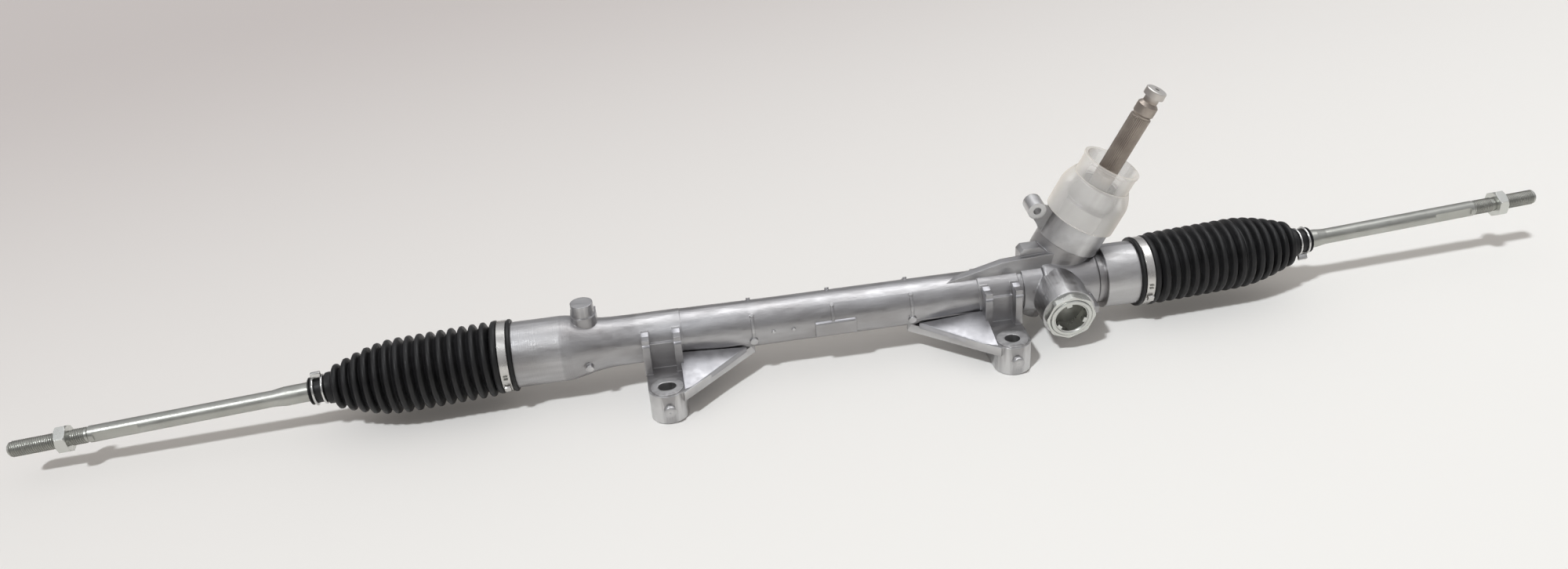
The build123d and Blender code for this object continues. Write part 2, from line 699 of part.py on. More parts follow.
def flank(middle, side):
    """One involute flank, as points from the base circle to the tip circle."""
    points = []
    for step in range(flank_steps + 1):
        radius = base_r + (pinion_tip_r - base_r) * step / flank_steps
        angle = middle + side * involute_half_angle(radius)
        points.append((radius * cos(angle), radius * sin(angle)))
    return points


# Pinion shaft: helical teeth, bearing seats, spline, waist and pilot head
half_face = pinion_face / 2
twist = -tan(lean) / pitch_r
bearing_top = bearing_seat + bearing_width
circlip_at = bearing_top + fit_gap
head_low = shaft_end - head_length
bulb_top = head_low - waist_length
bulb_low = bulb_top - bulb_length
spline_top = bulb_low - 1.5
spline_low = spline_top - spline_length
foot_r = pinion_root_r - 0.6
with BuildSketch(pinion_line.across(-half_face)) as gear_section:
    Circle(pinion_root_r)
    for tooth in range(pinion_teeth):
        middle = 2 * pi * tooth / pinion_teeth - half_face * twist
        rising, falling = flank(middle, -1), flank(middle, 1)
        foot = involute_half_angle(base_r)
        with BuildLine():
            Spline(*rising)
            Line(rising[-1], falling[-1])
            Spline(*falling)
            Polyline(falling[0], (foot_r * cos(middle + foot), foot_r * sin(middle + foot)),
                     (foot_r * cos(middle - foot), foot_r * sin(middle - foot)), rising[0])
        make_face()
gear = Solid.extrude_linear_with_rotation(
    gear_section.sketch.face(), pinion_line.across(-half_face).origin,
    along_pinion * pinion_face, degrees(pinion_face * twist))
with BuildPart() as pinion_shaft:
    add(gear)
    pinion_line.turn((lower_journal_end, 0), (lower_journal_end, lower_journal_r - 0.6),
                     (lower_journal_end + 0.6, lower_journal_r), (-half_face, lower_journal_r),
                     (-half_face, 0))
    pinion_line.turn((half_face, 0), (half_face, pinion_root_r), (half_face + 2, pinion_tip_r - 0.2),
                     (bearing_seat, pinion_tip_r - 0.2), (bearing_seat, bearing_bore_r - fit_gap),
                     (circlip_at, bearing_bore_r - fit_gap), (circlip_at, bearing_bore_r - 0.8),
                     (circlip_at + circlip_width, bearing_bore_r - 0.8),
                     (circlip_at + circlip_width, bearing_bore_r - fit_gap),
                     (circlip_at + circlip_width + 1.2, bearing_bore_r - fit_gap),
                     (circlip_at + circlip_width + 1.7, shaft_r), (spline_low, shaft_r), (spline_low, 0))
    with BuildSketch(pinion_line.across(spline_low)) as splined:
        Circle(shaft_r)
        with PolarLocations(shaft_r, spline_teeth):
            RegularPolygon(spline_depth * 1.6, 3, rotation=180, mode=Mode.SUBTRACT)
    extrude(splined.sketch, amount=spline_length)
    pinion_line.turn((spline_top, 0), (spline_top, shaft_r - 1), (bulb_low, shaft_r - 1),
                     (bulb_low + 1.5, shaft_r), (bulb_top - 2.5, shaft_r), (bulb_top, waist_r),
                     (head_low, waist_r), (head_low + 0.4, shaft_r), (shaft_end - 0.6, shaft_r),
                     (shaft_end, shaft_r - 0.6), (shaft_end, 0))
pinion_shaft.part.label = "pinion_shaft"
export_step(pinion_shaft.part, "parts/pinion_shaft.step")

# Ball bearing on the shaft, with a ring of balls in a cage
ball_line_r = (bearing_bore_r + bearing_outer_r) / 2
ball_station = bearing_seat + bearing_width / 2
with BuildPart() as pinion_bearing_inner:
    with BuildSketch(pinion_line.side) as section:
        with Locations((ball_station, bearing_bore_r)):
            Rectangle(bearing_width, ring_wall, align=(Align.CENTER, Align.MIN))
        with Locations((ball_station, ball_line_r)):
            Circle(bearing_ball_r + running_gap, mode=Mode.SUBTRACT)
    revolve(section.sketch, axis=pinion_line.axis)
pinion_bearing_inner.part.label = "pinion_bearing_inner"
export_step(pinion_bearing_inner.part, "parts/pinion_bearing_inner.step")

with BuildPart() as pinion_bearing_outer:
    with BuildSketch(pinion_line.side) as section:
        with Locations((ball_station, bearing_outer_r - ring_wall)):
            Rectangle(bearing_width, ring_wall - fit_gap, align=(Align.CENTER, Align.MIN))
        with Locations((ball_station, ball_line_r)):
            Circle(bearing_ball_r + running_gap, mode=Mode.SUBTRACT)
    revolve(section.sketch, axis=pinion_line.axis)
pinion_bearing_outer.part.label = "pinion_bearing_outer"
export_step(pinion_bearing_outer.part, "parts/pinion_bearing_outer.step")

with BuildPart() as pinion_bearing_balls:
    with Locations(pinion_line.across(ball_station)):
        with PolarLocations(ball_line_r, bearing_balls):
            Sphere(bearing_ball_r)
pinion_bearing_balls.part.label = "pinion_bearing_balls"
export_step(pinion_bearing_balls.part, "parts/pinion_bearing_balls.step")

with BuildPart() as pinion_bearing_cage:
    cage_low, cage_high = ball_station - cage_width / 2, ball_station + cage_width / 2
    cage_inner, cage_outer = ball_line_r - cage_thickness / 2, ball_line_r + cage_thickness / 2
    pinion_line.turn((cage_low, cage_inner), (cage_low, cage_outer), (cage_high, cage_outer),
                     (cage_high, cage_inner))
    with Locations(pinion_line.across(ball_station)):
        with PolarLocations(ball_line_r, bearing_balls):
            Cylinder(bearing_ball_r + running_gap, 3 * cage_thickness, rotation=(0, 90, 0),
                     mode=Mode.SUBTRACT)
pinion_bearing_cage.part.label = "pinion_bearing_cage"
export_step(pinion_bearing_cage.part, "parts/pinion_bearing_cage.step")

with BuildPart() as pinion_circlip:
    pinion_line.turn((circlip_at + fit_gap, bearing_bore_r - 0.7),
                     (circlip_at + fit_gap, bearing_bore_r + 1.8),
                     (circlip_at + circlip_width - fit_gap, bearing_bore_r + 1.8),
                     (circlip_at + circlip_width - fit_gap, bearing_bore_r - 0.7))
pinion_circlip.part.label = "pinion_circlip"
export_step(pinion_circlip.part, "parts/pinion_circlip.step")

with BuildPart() as bearing_retainer:
    pinion_line.turn((bearing_top + 2 * fit_gap, bearing_outer_r - 2.5),
                     (bearing_top + 2 * fit_gap, bearing_outer_r + 1.1),
                     (bearing_top + retainer_width, bearing_outer_r + 1.1),
                     (bearing_top + retainer_width, bearing_outer_r - 2.5))
bearing_retainer.part.label = "bearing_retainer"
export_step(bearing_retainer.part, "parts/bearing_retainer.step")

with BuildPart() as pinion_bush:
    bush_top = -half_face - 1.2
    pinion_line.turn((bush_top - bush_length, lower_journal_r + running_gap),
                     (bush_top - bush_length, bush_r - fit_gap), (bush_top, bush_r - fit_gap),
                     (bush_top, lower_journal_r + running_gap))
pinion_bush.part.label = "pinion_bush"
export_step(pinion_bush.part, "parts/pinion_bush.step")

with BuildPart() as pinion_end_cap:
    pinion_line.turn((foot_boss_end, 0), (foot_boss_end, end_cap_r - fit_gap),
                     (foot_boss_end + end_cap_thickness - fit_gap, end_cap_r - fit_gap),
                     (foot_boss_end + end_cap_thickness - fit_gap, 0))
pinion_end_cap.part.label = "pinion_end_cap"
export_step(pinion_end_cap.part, "parts/pinion_end_cap.step")

with BuildPart() as pinion_seal:
    seal_at = tower_neck_top - seal_length - 0.5
    pinion_line.turn((seal_at, shaft_r + 2), (seal_at, seal_r - fit_gap),
                     (seal_at + seal_length, seal_r - fit_gap),
                     (seal_at + seal_length, shaft_r + 3), (seal_at + seal_length - 2, shaft_r + running_gap),
                     (seal_at + seal_length - 4, shaft_r + running_gap))
pinion_seal.part.label = "pinion_seal"
export_step(pinion_seal.part, "parts/pinion_seal.step")

# Milky plastic cap over the tower
with BuildPart() as dust_cap:
    inner, neck_inner = tower_r + running_gap, cap_neck_r - cap_wall
    with BuildSketch(pinion_line.side) as cap_section:
        with BuildLine():
            Polyline((cap_shoulder_low, cap_r), (cap_low, cap_r), (cap_low, inner), (cap_shoulder_low, inner))
            Bezier((cap_shoulder_low, inner), (cap_shoulder_low + 5, inner),
                   (cap_shoulder_high - cap_wall, neck_inner))
            Polyline((cap_shoulder_high - cap_wall, neck_inner), (cap_top, neck_inner),
                     (cap_top, cap_neck_r + cap_rim), (cap_top - 2, cap_neck_r + cap_rim),
                     (cap_top - 2, cap_neck_r), (cap_shoulder_high, cap_neck_r),
                     (cap_shoulder_high, cap_shoulder_r))
            Bezier((cap_shoulder_high, cap_shoulder_r), (cap_shoulder_low + 6, cap_r),
                   (cap_shoulder_low, cap_r))
        make_face()
    revolve(cap_section.sketch, axis=pinion_line.axis)
dust_cap.part.label = "dust_cap"
export_step(dust_cap.part, "parts/dust_cap.step")


def finish(piece, name):
    """Label a finished piece and write it."""
    piece.part.label = name
    export_step(piece.part, "parts/" + name + ".step")


def build_side(side, ball_x, lip, rod_line, nut_from_tip, clip_station, clip_angle):
    """The ball joint, tie rod, nut, bellows and clamps at one end of the rack."""
    hand = "left" if side < 0 else "right"
    end_line = Lathe((ball_x, rack_setback, rack_height), (side, 0, 0), (0, 0, 1))
    race_r = ball_r + race_wall
    face = -socket_depth
    nut_low = rod_length - nut_from_tip - jam_nut_thickness / 2
    nut_high = nut_low + jam_nut_thickness
    thread_start = rod_length - thread_length
    flats_start = rod_length - flats_from_tip

    with BuildPart() as lock_washer:
        end_line.turn((face - washer_thickness, stud_r + fit_gap), (face - washer_thickness, washer_r),
                      (face, washer_r), (face, stud_r + fit_gap))
    finish(lock_washer, hand + "_lock_washer")

    with BuildPart() as inner_socket:
        end_line.turn((face - washer_thickness - stud_length, 0),
                      (face - washer_thickness - stud_length, stud_r),
                      (face, stud_r), (face, socket_r), (socket_mouth - 4, socket_r),
                      (socket_mouth, socket_r - 2.8), (socket_mouth, 0))
        mouth_foot = rod_neck_r + 0.5
        spread = tan(radians(socket_swing))
        end_line.turn((0, 0), (0, mouth_foot), (socket_mouth + 1, mouth_foot + (socket_mouth + 1) * spread),
                      (socket_mouth + 1, 0), mode=Mode.SUBTRACT)
        end_line.ball(race_r + running_gap, mode=Mode.SUBTRACT)
        with BuildSketch(end_line.across(face)) as wrench_flats:
            Circle(socket_r + 1)
            Rectangle(socket_flat_width, 2 * socket_r + 4, mode=Mode.SUBTRACT)
        extrude(wrench_flats.sketch, amount=socket_depth - 6, mode=Mode.SUBTRACT)
    finish(inner_socket, hand + "_inner_socket")

    with BuildPart() as ball_race:
        rod_line.ball(race_r)
        rod_line.ball(ball_r + running_gap, mode=Mode.SUBTRACT)
        rod_line.rod(race_mouth * race_r, race_r + 1, race_r + 1, mode=Mode.SUBTRACT)
    finish(ball_race, hand + "_ball_race")

    with BuildPart() as tie_rod:
        rod_line.turn((0, 0), (0, rod_neck_r), (rod_neck_length, rod_neck_r),
                      (rod_neck_length + rod_cone_length, rod_r), (rod_swell_start - rod_swell_slope, rod_r),
                      (rod_swell_start, rod_swell_r), (rod_swell_end - rod_swell_slope, rod_swell_r),
                      (rod_swell_end, rod_r), (thread_start - 1, rod_r), (thread_start, thread_r),
                      (nut_low - 0.5, thread_r), (nut_low - 0.5, thread_in_nut_r),
                      (nut_high + 0.5, thread_in_nut_r), (nut_high + 0.5, thread_r),
                      (rod_length - tip_chamfer, thread_r), (rod_length, thread_r - tip_chamfer),
                      (rod_length, 0))
        rod_line.ball(ball_r)
        with BuildSketch(rod_line.across(flats_start)) as wrench_flats:
            Circle(rod_r + 1)
            Rectangle(2 * rod_r + 4, flats_across, mode=Mode.SUBTRACT)
        extrude(wrench_flats.sketch, amount=flats_length, mode=Mode.SUBTRACT)
    finish(tie_rod, hand + "_tie_rod")

    with BuildPart() as jam_nut:
        with BuildSketch(rod_line.across(nut_low)) as hexagon:
            RegularPolygon(jam_nut_flats / 2, 6, major_radius=False)
            Circle(thread_in_nut_r + 2 * fit_gap, mode=Mode.SUBTRACT)
        extrude(hexagon.sketch, amount=jam_nut_thickness)
        corner_r = jam_nut_flats / 2 / cos(pi / 6)
        rod_line.turn((nut_low, 0), (nut_low, jam_nut_flats / 2), (nut_low + 1, corner_r),
                      (nut_high - 1, corner_r), (nut_high, jam_nut_flats / 2), (nut_high, 0),
                      mode=Mode.INTERSECT)
    finish(jam_nut, hand + "_jam_nut")

    # Bellows: a cuff on the housing, folds aimed at the clip, a cuff on the rod
    lip_line = Lathe((lip, rack_setback, rack_height), (side, 0, 0), (0, 0, 1))
    fold_line = aim(lip_line.origin, rod_line.across(clip_station).origin)
    cuff_inner = boot_seat_r + fit_gap
    cuff_outer = boot_seat_r + cuff_wall
    small_inner = rod_swell_r + soft_gap
    small_outer = small_inner + cuff_wall
    first = boot_seat_length + cuff_slope
    cuff_end = clip_station + small_cuff_proud
    cuff_start = cuff_end - small_cuff_length
    last = (rod_line.across(cuff_start).origin - lip_line.origin).length
    step = (last - first) / bellows_ridges
    wall = bellows_valley_r - bellows_inner_r
    folds, hollow = [], []
    for index in range(bellows_ridges):
        share = min(1, (bellows_ridges - 1 - index) / bellows_taper_ridges)
        ridge = bellows_small_ridge_r + (bellows_ridge_r - bellows_small_ridge_r) * sin(share * pi / 2)
        valley = ridge - (bellows_ridge_r - bellows_valley_r)
        crest = first + (index + 0.5) * step
        folds += [(crest - 0.15 * step, ridge), (crest + 0.15 * step, ridge), (crest + 0.5 * step, valley)]
        hollow.append((crest, valley - wall))
    folds[-1] = (last, small_outer + cuff_wall)
    with BuildPart() as bellows:
        lip_line.turn((fit_gap, 0), (fit_gap, cuff_outer), (boot_seat_length, cuff_outer),
                      (first, bellows_valley_r - 1), (first, 0))
        fold_line.turn((boot_seat_length - 1, 0), (boot_seat_length - 1, bellows_valley_r),
                       (first, bellows_valley_r), *folds, (last, 0))
        rod_line.rod(cuff_start - 1.5, cuff_end, small_outer)
        lip_line.rod(-1, boot_seat_length + soft_gap, cuff_inner, mode=Mode.SUBTRACT)
        fold_line.turn((boot_seat_length - 1, 0), (boot_seat_length - 1, bellows_inner_r), *hollow,
                       (last - wall, small_inner + 1), (last - wall, 0), mode=Mode.SUBTRACT)
        rod_line.rod(cuff_start - 4, cuff_end + 1, small_inner, mode=Mode.SUBTRACT)
    finish(bellows, hand + "_bellows")

    with BuildPart() as bellows_band:
        with BuildSketch(lip_line.across(band_inset)) as band:
            Circle(cuff_outer + fit_gap + band_thickness)
            with Locations(Location((0, 0, 0), (0, 0, side * band_ear_angle))):
                with Locations((cuff_outer + band_thickness + band_ear_rise / 2, 0)):
                    Rectangle(band_ear_rise + 1, band_ear_width)
            Circle(cuff_outer + fit_gap, mode=Mode.SUBTRACT)
        extrude(band.sketch, amount=band_width)
    finish(bellows_band, hand + "_bellows_band")

    with BuildPart() as bellows_clip:
        with BuildSketch(rod_line.across(clip_station - clip_width / 2)) as ring:
            Circle(small_outer + soft_gap + band_thickness)
            with Locations(Location((0, 0, 0), (0, 0, side * clip_angle))):
                with Locations((small_outer + band_thickness + clip_tab / 2, 0)):
                    Rectangle(clip_tab, 3.4)
            Circle(small_outer + soft_gap, mode=Mode.SUBTRACT)
        extrude(ring.sketch, amount=clip_width)
    finish(bellows_clip, hand + "_bellows_clip")


build_side(-1, left_ball_x, left_lip, left_line, left_nut_from_tip, left_clip_station, left_clip_angle)
build_side(1, right_ball_x, right_lip, right_line, right_nut_from_tip, right_clip_station, right_clip_angle)
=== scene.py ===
# %% [markdown]
# # A steering rack, dressed around its solid model
#
# The solids are already packed, in metres, with the round bolt hole as the
# origin, X along the rack and Z up. This lesson gives them their finishes and
# adds what solids leave out: folded rubber boots, strip-steel clamps, threads.

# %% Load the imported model
from math import ceil, cos, pi, radians, sin

import bpy
from mathutils import Matrix, Vector


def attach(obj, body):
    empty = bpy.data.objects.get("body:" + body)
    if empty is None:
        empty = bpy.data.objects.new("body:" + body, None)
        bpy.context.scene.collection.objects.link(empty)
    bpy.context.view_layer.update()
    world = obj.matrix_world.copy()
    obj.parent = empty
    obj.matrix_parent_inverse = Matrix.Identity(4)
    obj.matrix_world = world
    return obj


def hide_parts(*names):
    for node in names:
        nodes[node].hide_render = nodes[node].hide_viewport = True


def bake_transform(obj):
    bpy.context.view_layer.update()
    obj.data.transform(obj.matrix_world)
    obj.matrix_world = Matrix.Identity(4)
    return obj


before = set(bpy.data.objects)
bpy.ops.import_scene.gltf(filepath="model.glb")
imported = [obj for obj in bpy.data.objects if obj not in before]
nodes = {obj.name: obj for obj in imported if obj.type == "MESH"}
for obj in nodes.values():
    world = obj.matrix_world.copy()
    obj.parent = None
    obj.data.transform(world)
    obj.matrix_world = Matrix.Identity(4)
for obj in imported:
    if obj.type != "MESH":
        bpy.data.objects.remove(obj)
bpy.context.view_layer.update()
MM = 0.001

# %% [markdown]
# ## The camera
#
# The photograph was taken from above and in front, with the camera rolled a
# little. A camera's own axes are right, up and backwards, so three unit
# vectors and a place are all that it needs.

# %% Camera
YAW, PITCH, ROLL = radians(6.31), radians(28.40), radians(-4.54)
CAMERA_PLACE = Vector((-257.4, -786.1, 523.5)) * MM
FOCAL_PIXELS, IMAGE_WIDTH, SENSOR = 1597.0, 2000.0, 36.0
NEAREST_SEEN = 0.05

forward = Vector((sin(YAW) * cos(PITCH), cos(YAW) * cos(PITCH), -sin(PITCH)))
level = Vector((cos(YAW), -sin(YAW), 0))
above = level.cross(forward)
camera_right = level * cos(ROLL) + above * sin(ROLL)
camera_up = above * cos(ROLL) - level * sin(ROLL)

camera_data = bpy.data.cameras.new("camera")
camera_data.sensor_width = SENSOR
camera_data.lens = FOCAL_PIXELS / IMAGE_WIDTH * SENSOR
camera_data.clip_start = NEAREST_SEEN
camera = bpy.data.objects.new("camera", camera_data)
bpy.context.scene.collection.objects.link(camera)
camera.matrix_world = Matrix.Translation(CAMERA_PLACE) @ Matrix(
    (camera_right, camera_up, -forward)).transposed().to_4x4()
bpy.context.scene.camera = camera
print("lens", round(camera_data.lens, 2))

# %% [markdown]
# ## The room
#
# Metal shows what is around it, so the room that shiny surfaces see is dark
# near the ground and pale above. The light that it adds to dull surfaces is a
# plain warm grey, kept low so that shadows stay clear. Light Path tells the two
# apart.

# %% Room
scene = bpy.context.scene
scene.view_settings.view_transform = "Standard"

ROOM_LOW, ROOM_HIGH = (0.25, 0.245, 0.245, 1), (0.70, 0.70, 0.72, 1)
DARK_BELOW, PALE_ABOVE = 0.10, 0.90
AMBIENT = (0.47, 0.445, 0.42, 1)

world = bpy.data.worlds.new("room")
scene.world = world
world.use_nodes = True
room = world.node_tree
room.nodes.clear()
out = room.nodes.new("ShaderNodeOutputWorld")
seen = room.nodes.new("ShaderNodeBackground")
ambient = room.nodes.new("ShaderNodeBackground")
ambient.inputs["Color"].default_value = AMBIENT
coords = room.nodes.new("ShaderNodeTexCoord")
split = room.nodes.new("ShaderNodeSeparateXYZ")
ramp = room.nodes.new("ShaderNodeValToRGB")
ramp.color_ramp.elements[0].position = DARK_BELOW
ramp.color_ramp.elements[0].color = ROOM_LOW
ramp.color_ramp.elements[1].position = PALE_ABOVE
ramp.color_ramp.elements[1].color = ROOM_HIGH
path = room.nodes.new("ShaderNodeLightPath")
choose = room.nodes.new("ShaderNodeMixShader")
room.links.new(coords.outputs["Generated"], split.inputs["Vector"])
room.links.new(split.outputs["Z"], ramp.inputs["Fac"])
room.links.new(ramp.outputs["Color"], seen.inputs["Color"])
room.links.new(path.outputs["Is Diffuse Ray"], choose.inputs["Fac"])
room.links.new(seen.outputs["Background"], choose.inputs[1])
room.links.new(ambient.outputs["Background"], choose.inputs[2])
room.links.new(choose.outputs["Shader"], out.inputs["Surface"])
print("world", world.name, "nodes", len(room.nodes))

# %% [markdown]
# ## Lamps
#
# The shadows in the photograph are crisp, so a small sun gives most of the
# light. It is two lamps in one place, and shiny surfaces see only the weaker
# one, so that metal doesn't glare. A long lamp overhead, seen by shiny surfaces
# alone, draws the bright band along the top of the tube.


# %% Lamps
def add_lamp(name, kind, place, aim_at, power, **settings):
    """A lamp of some kind that looks at a point."""
    data = bpy.data.lights.new(name, kind)
    data.energy = power
    for label, value in settings.items():
        setattr(data, label, value)
    lamp = bpy.data.objects.new(name, data)
    scene.collection.objects.link(lamp)
    lamp.location = place
    looking = Vector(aim_at) - Vector(place)
    lamp.rotation_euler = looking.to_track_quat("-Z", "Y").to_euler()
    return lamp


SUN_PLACE, SUN_COLOUR, SUN_ANGLE = (-0.5, -0.5, 1.0), (0.97, 0.99, 1), radians(5)
SHINY_SUN_POWER, DULL_SUN_POWER = 0.75, 1.35
BAND_PLACE, BAND_AIM, BAND_POWER = (0.30, 0.38, 1.5), (0.10, 0.05, 0), 9.5
BAND_LENGTH, BAND_DEPTH = 1.7, 0.8

add_lamp("key_lamp", "SUN", SUN_PLACE, (0, 0, 0), SHINY_SUN_POWER, angle=SUN_ANGLE,
         color=SUN_COLOUR)
flat_key = add_lamp("flat_key_lamp", "SUN", SUN_PLACE, (0, 0, 0), DULL_SUN_POWER,
                    angle=SUN_ANGLE, color=SUN_COLOUR)
flat_key.visible_glossy = False
overhead = add_lamp("overhead_lamp", "AREA", BAND_PLACE, BAND_AIM, BAND_POWER,
                    shape="RECTANGLE", size=BAND_LENGTH, size_y=BAND_DEPTH)
overhead.visible_diffuse = False

# %% [markdown]
# ## Finishes
#
# Each finish is a Principled shader fed by noise on object coordinates. The
# mottle of cast metal comes back in every finish, so it is one node group with
# named inputs, placed in each material with its own scales.


# %% Group: mottle
def new_group(name, inputs, outputs):
    """An empty shader node group with named sockets."""
    group = bpy.data.node_groups.new(name, "ShaderNodeTree")
    for label, kind, value in inputs:
        socket = group.interface.new_socket(label, in_out="INPUT", socket_type=kind)
        socket.default_value = value
    for label, kind in outputs:
        group.interface.new_socket(label, in_out="OUTPUT", socket_type=kind)
    return group, group.nodes.new("NodeGroupInput"), group.nodes.new("NodeGroupOutput")


def make_mottle():
    """Soft noise of three sizes: a wide blotch, a fleck and a fine grain."""
    group, enter, leave = new_group(
        "mottle",
        [("Blotch Scale", "NodeSocketFloat", 40.0), ("Fleck Scale", "NodeSocketFloat", 200.0),
         ("Grain Scale", "NodeSocketFloat", 900.0),
         ("Stretch", "NodeSocketVector", (1.0, 1.0, 1.0))],
        [("Blotch", "NodeSocketFloat"), ("Fleck", "NodeSocketFloat"),
         ("Grain", "NodeSocketFloat")])
    place = group.nodes.new("ShaderNodeTexCoord")
    stretch = group.nodes.new("ShaderNodeVectorMath")
    stretch.operation = "MULTIPLY"
    group.links.new(place.outputs["Object"], stretch.inputs[0])
    group.links.new(enter.outputs["Stretch"], stretch.inputs[1])
    for label, detail in (("Blotch", 5.0), ("Fleck", 3.0), ("Grain", 2.0)):
        noise = group.nodes.new("ShaderNodeTexNoise")
        noise.inputs["Detail"].default_value = detail
        group.links.new(stretch.outputs["Vector"], noise.inputs["Vector"])
        group.links.new(enter.outputs[label + " Scale"], noise.inputs["Scale"])
        group.links.new(noise.outputs["Fac"], leave.inputs[label])
    return group


MOTTLE = make_mottle()
print("group", MOTTLE.name)

# %% [markdown]
# A finish is put together from a few small steps: a mask is spread between two
# values, two colours are mixed by a mask, or a sum is worked out. Each is a
# helper that adds one node and hands back its output.


# %% Masks, mixes and sums
def spread(tree, source, low, high, start=0.35, end=0.65):
    """Map a mask to a value between two others."""
    span = tree.nodes.new("ShaderNodeMapRange")
    span.inputs["From Min"].default_value = start
    span.inputs["From Max"].default_value = end
    span.inputs["To Min"].default_value = low
    span.inputs["To Max"].default_value = high
    tree.links.new(source, span.inputs["Value"])
    return span.outputs["Result"]


def blend_colours(tree, mask, low, high):
    """Mix two colours by a mask. Each may be a socket or a plain colour."""
    mix = tree.nodes.new("ShaderNodeMix")
    mix.data_type = "RGBA"
    tree.links.new(mask, mix.inputs["Factor"])
    for side, colour in (("A", low), ("B", high)):
        socket = [s for s in mix.inputs if s.name == side and s.type == "RGBA"][0]
        if isinstance(colour, tuple):
            socket.default_value = (*colour, 1)
        else:
            tree.links.new(colour, socket)
    return [s for s in mix.outputs if s.type == "RGBA"][0]


def work_out(tree, operation, *values):
    """A math node on sockets and plain numbers."""
    node = tree.nodes.new("ShaderNodeMath")
    node.operation = operation
    for socket, value in zip(node.inputs, values):
        if isinstance(value, float):
            socket.default_value = value
        else:
            tree.links.new(value, socket)
    return node.outputs["Value"]


print("helpers for masks ready")

# %% [markdown]
# Real metal isn't one colour, and isn't equally smooth all over. So every
# finish lies between two colours and between two roughnesses. The Bevel node
# softens how sharp edges catch light, and the sharp edges of cast metal are painted paler, partly
# wear and partly a painted edge highlight.

# %% Finish helper
BUMP_DEPTH, EDGE_SAMPLES = 0.0005, 6
# Sharp edges painted paler: partly wear, partly a painted edge highlight.
EDGE_GLINT_FROM, EDGE_GLINT_TO, EDGE_GLINT_SHARE = 0.52, 0.60, 0.8
FLECK_SHARE = 0.45


def finish(name, low, high, rough, metallic=1.0, blotch=40.0, fleck=200.0, grain=900.0,
           bump=0.1, edge=0.0005, wear_and_glint=None, stretch=(1, 1, 1), **fixed):
    """A finish between two colours and two roughnesses, with a fine bump."""
    material = bpy.data.materials.new(name)
    material.use_nodes = True
    tree = material.node_tree
    shader = tree.nodes["Principled BSDF"]
    shader.inputs["Metallic"].default_value = metallic
    for label, value in fixed.items():
        socket = label.replace("_", " ").title().replace("Ior", "IOR")
        shader.inputs[socket].default_value = value
    mottle = tree.nodes.new("ShaderNodeGroup")
    mottle.node_tree = MOTTLE
    for label, value in (("Blotch Scale", blotch), ("Fleck Scale", fleck),
                         ("Grain Scale", grain), ("Stretch", stretch)):
        mottle.inputs[label].default_value = value
    middle = tuple((a + b) / 2 for a, b in zip(low, high))
    colour = blend_colours(tree, spread(tree, mottle.outputs["Blotch"], 0.0, 1.0), low, high)
    flecks = spread(tree, mottle.outputs["Fleck"], 0.0, FLECK_SHARE)
    colour = blend_colours(tree, flecks, colour, middle)
    relief = tree.nodes.new("ShaderNodeBump")
    relief.inputs["Strength"].default_value = bump
    relief.inputs["Distance"].default_value = BUMP_DEPTH
    tree.links.new(mottle.outputs["Grain"], relief.inputs["Height"])
    # Paler sharp edges: wear and a painted edge highlight.
    if wear_and_glint:
        geometry = tree.nodes.new("ShaderNodeNewGeometry")
        wear_and_glint_mask = spread(tree, geometry.outputs["Pointiness"], 0.0, EDGE_GLINT_SHARE, EDGE_GLINT_FROM, EDGE_GLINT_TO)
        colour = blend_colours(tree, wear_and_glint_mask, colour, wear_and_glint)
    if edge:
        rounding = tree.nodes.new("ShaderNodeBevel")
        rounding.samples = EDGE_SAMPLES
        rounding.inputs["Radius"].default_value = edge
        tree.links.new(rounding.outputs["Normal"], relief.inputs["Normal"])
    tree.links.new(colour, shader.inputs["Base Color"])
    roughness = spread(tree, mottle.outputs["Fleck"], *rough)
    tree.links.new(roughness, shader.inputs["Roughness"])
    tree.links.new(relief.outputs["Normal"], shader.inputs["Normal"])
    return material


print("finish helper ready")

# %% [markdown]
# The casting is grey, grainy and drawn out along the tube. Its ground faces get a
# paler, less metallic copy of its finish, partly their own grind and partly painted light for the
# light they catch. The rods are plated a dull grey-green, the shaft is brown with oil, and nuts,
# plug and clamps have the bright coat of new zinc and strip steel.

# %% Metal finishes
# The pale edge colour of the casting is partly wear and partly a painted edge highlight.
cast = finish("cast_aluminium", (0.33, 0.32, 0.32), (0.48, 0.48, 0.49), (0.30, 0.46), blotch=45,
              fleck=210, grain=650, bump=0.22, edge=0.0010, wear_and_glint=(0.68, 0.68, 0.68),
              stretch=(0.35, 1, 1))
# A paler copy of the cast finish for faces that catch the light: partly painted light.
cast_face = finish("cast_face", (0.36, 0.36, 0.38), (0.50, 0.50, 0.52), (0.34, 0.46),
                   metallic=0.85, blotch=60, edge=0.0004)
rod_steel = finish("rod_steel", (0.41, 0.415, 0.385), (0.49, 0.495, 0.465), (0.30, 0.42),
                   blotch=50, grain=1500)
thread_steel = finish("thread_steel", (0.24, 0.24, 0.22), (0.36, 0.36, 0.33), (0.35, 0.5),
                      blotch=90)
shaft_steel = finish("shaft_steel", (0.33, 0.285, 0.25), (0.45, 0.40, 0.355), (0.34, 0.48),
                     blotch=70)
bright_steel = finish("bright_steel", (0.60, 0.60, 0.59), (0.72, 0.72, 0.71), (0.16, 0.28),
                      blotch=60)
zinc = finish("zinc_plate", (0.60, 0.61, 0.58), (0.66, 0.67, 0.64), (0.26, 0.33), blotch=25,
              fleck=120)
strip_steel = finish("strip_steel", (0.58, 0.57, 0.55), (0.64, 0.63, 0.61), (0.26, 0.34),
                     blotch=40, fleck=150, edge=0.0002)
spring_steel = finish("spring_steel", (0.20, 0.20, 0.21), (0.32, 0.32, 0.33), (0.3, 0.45))
print("metals", len(bpy.data.materials))

# %% [markdown]
# Rubber is nearly black and only half shiny, with a very fine grain. The hidden
# bushes are natural white plastic, and the dust cap is a milky one.

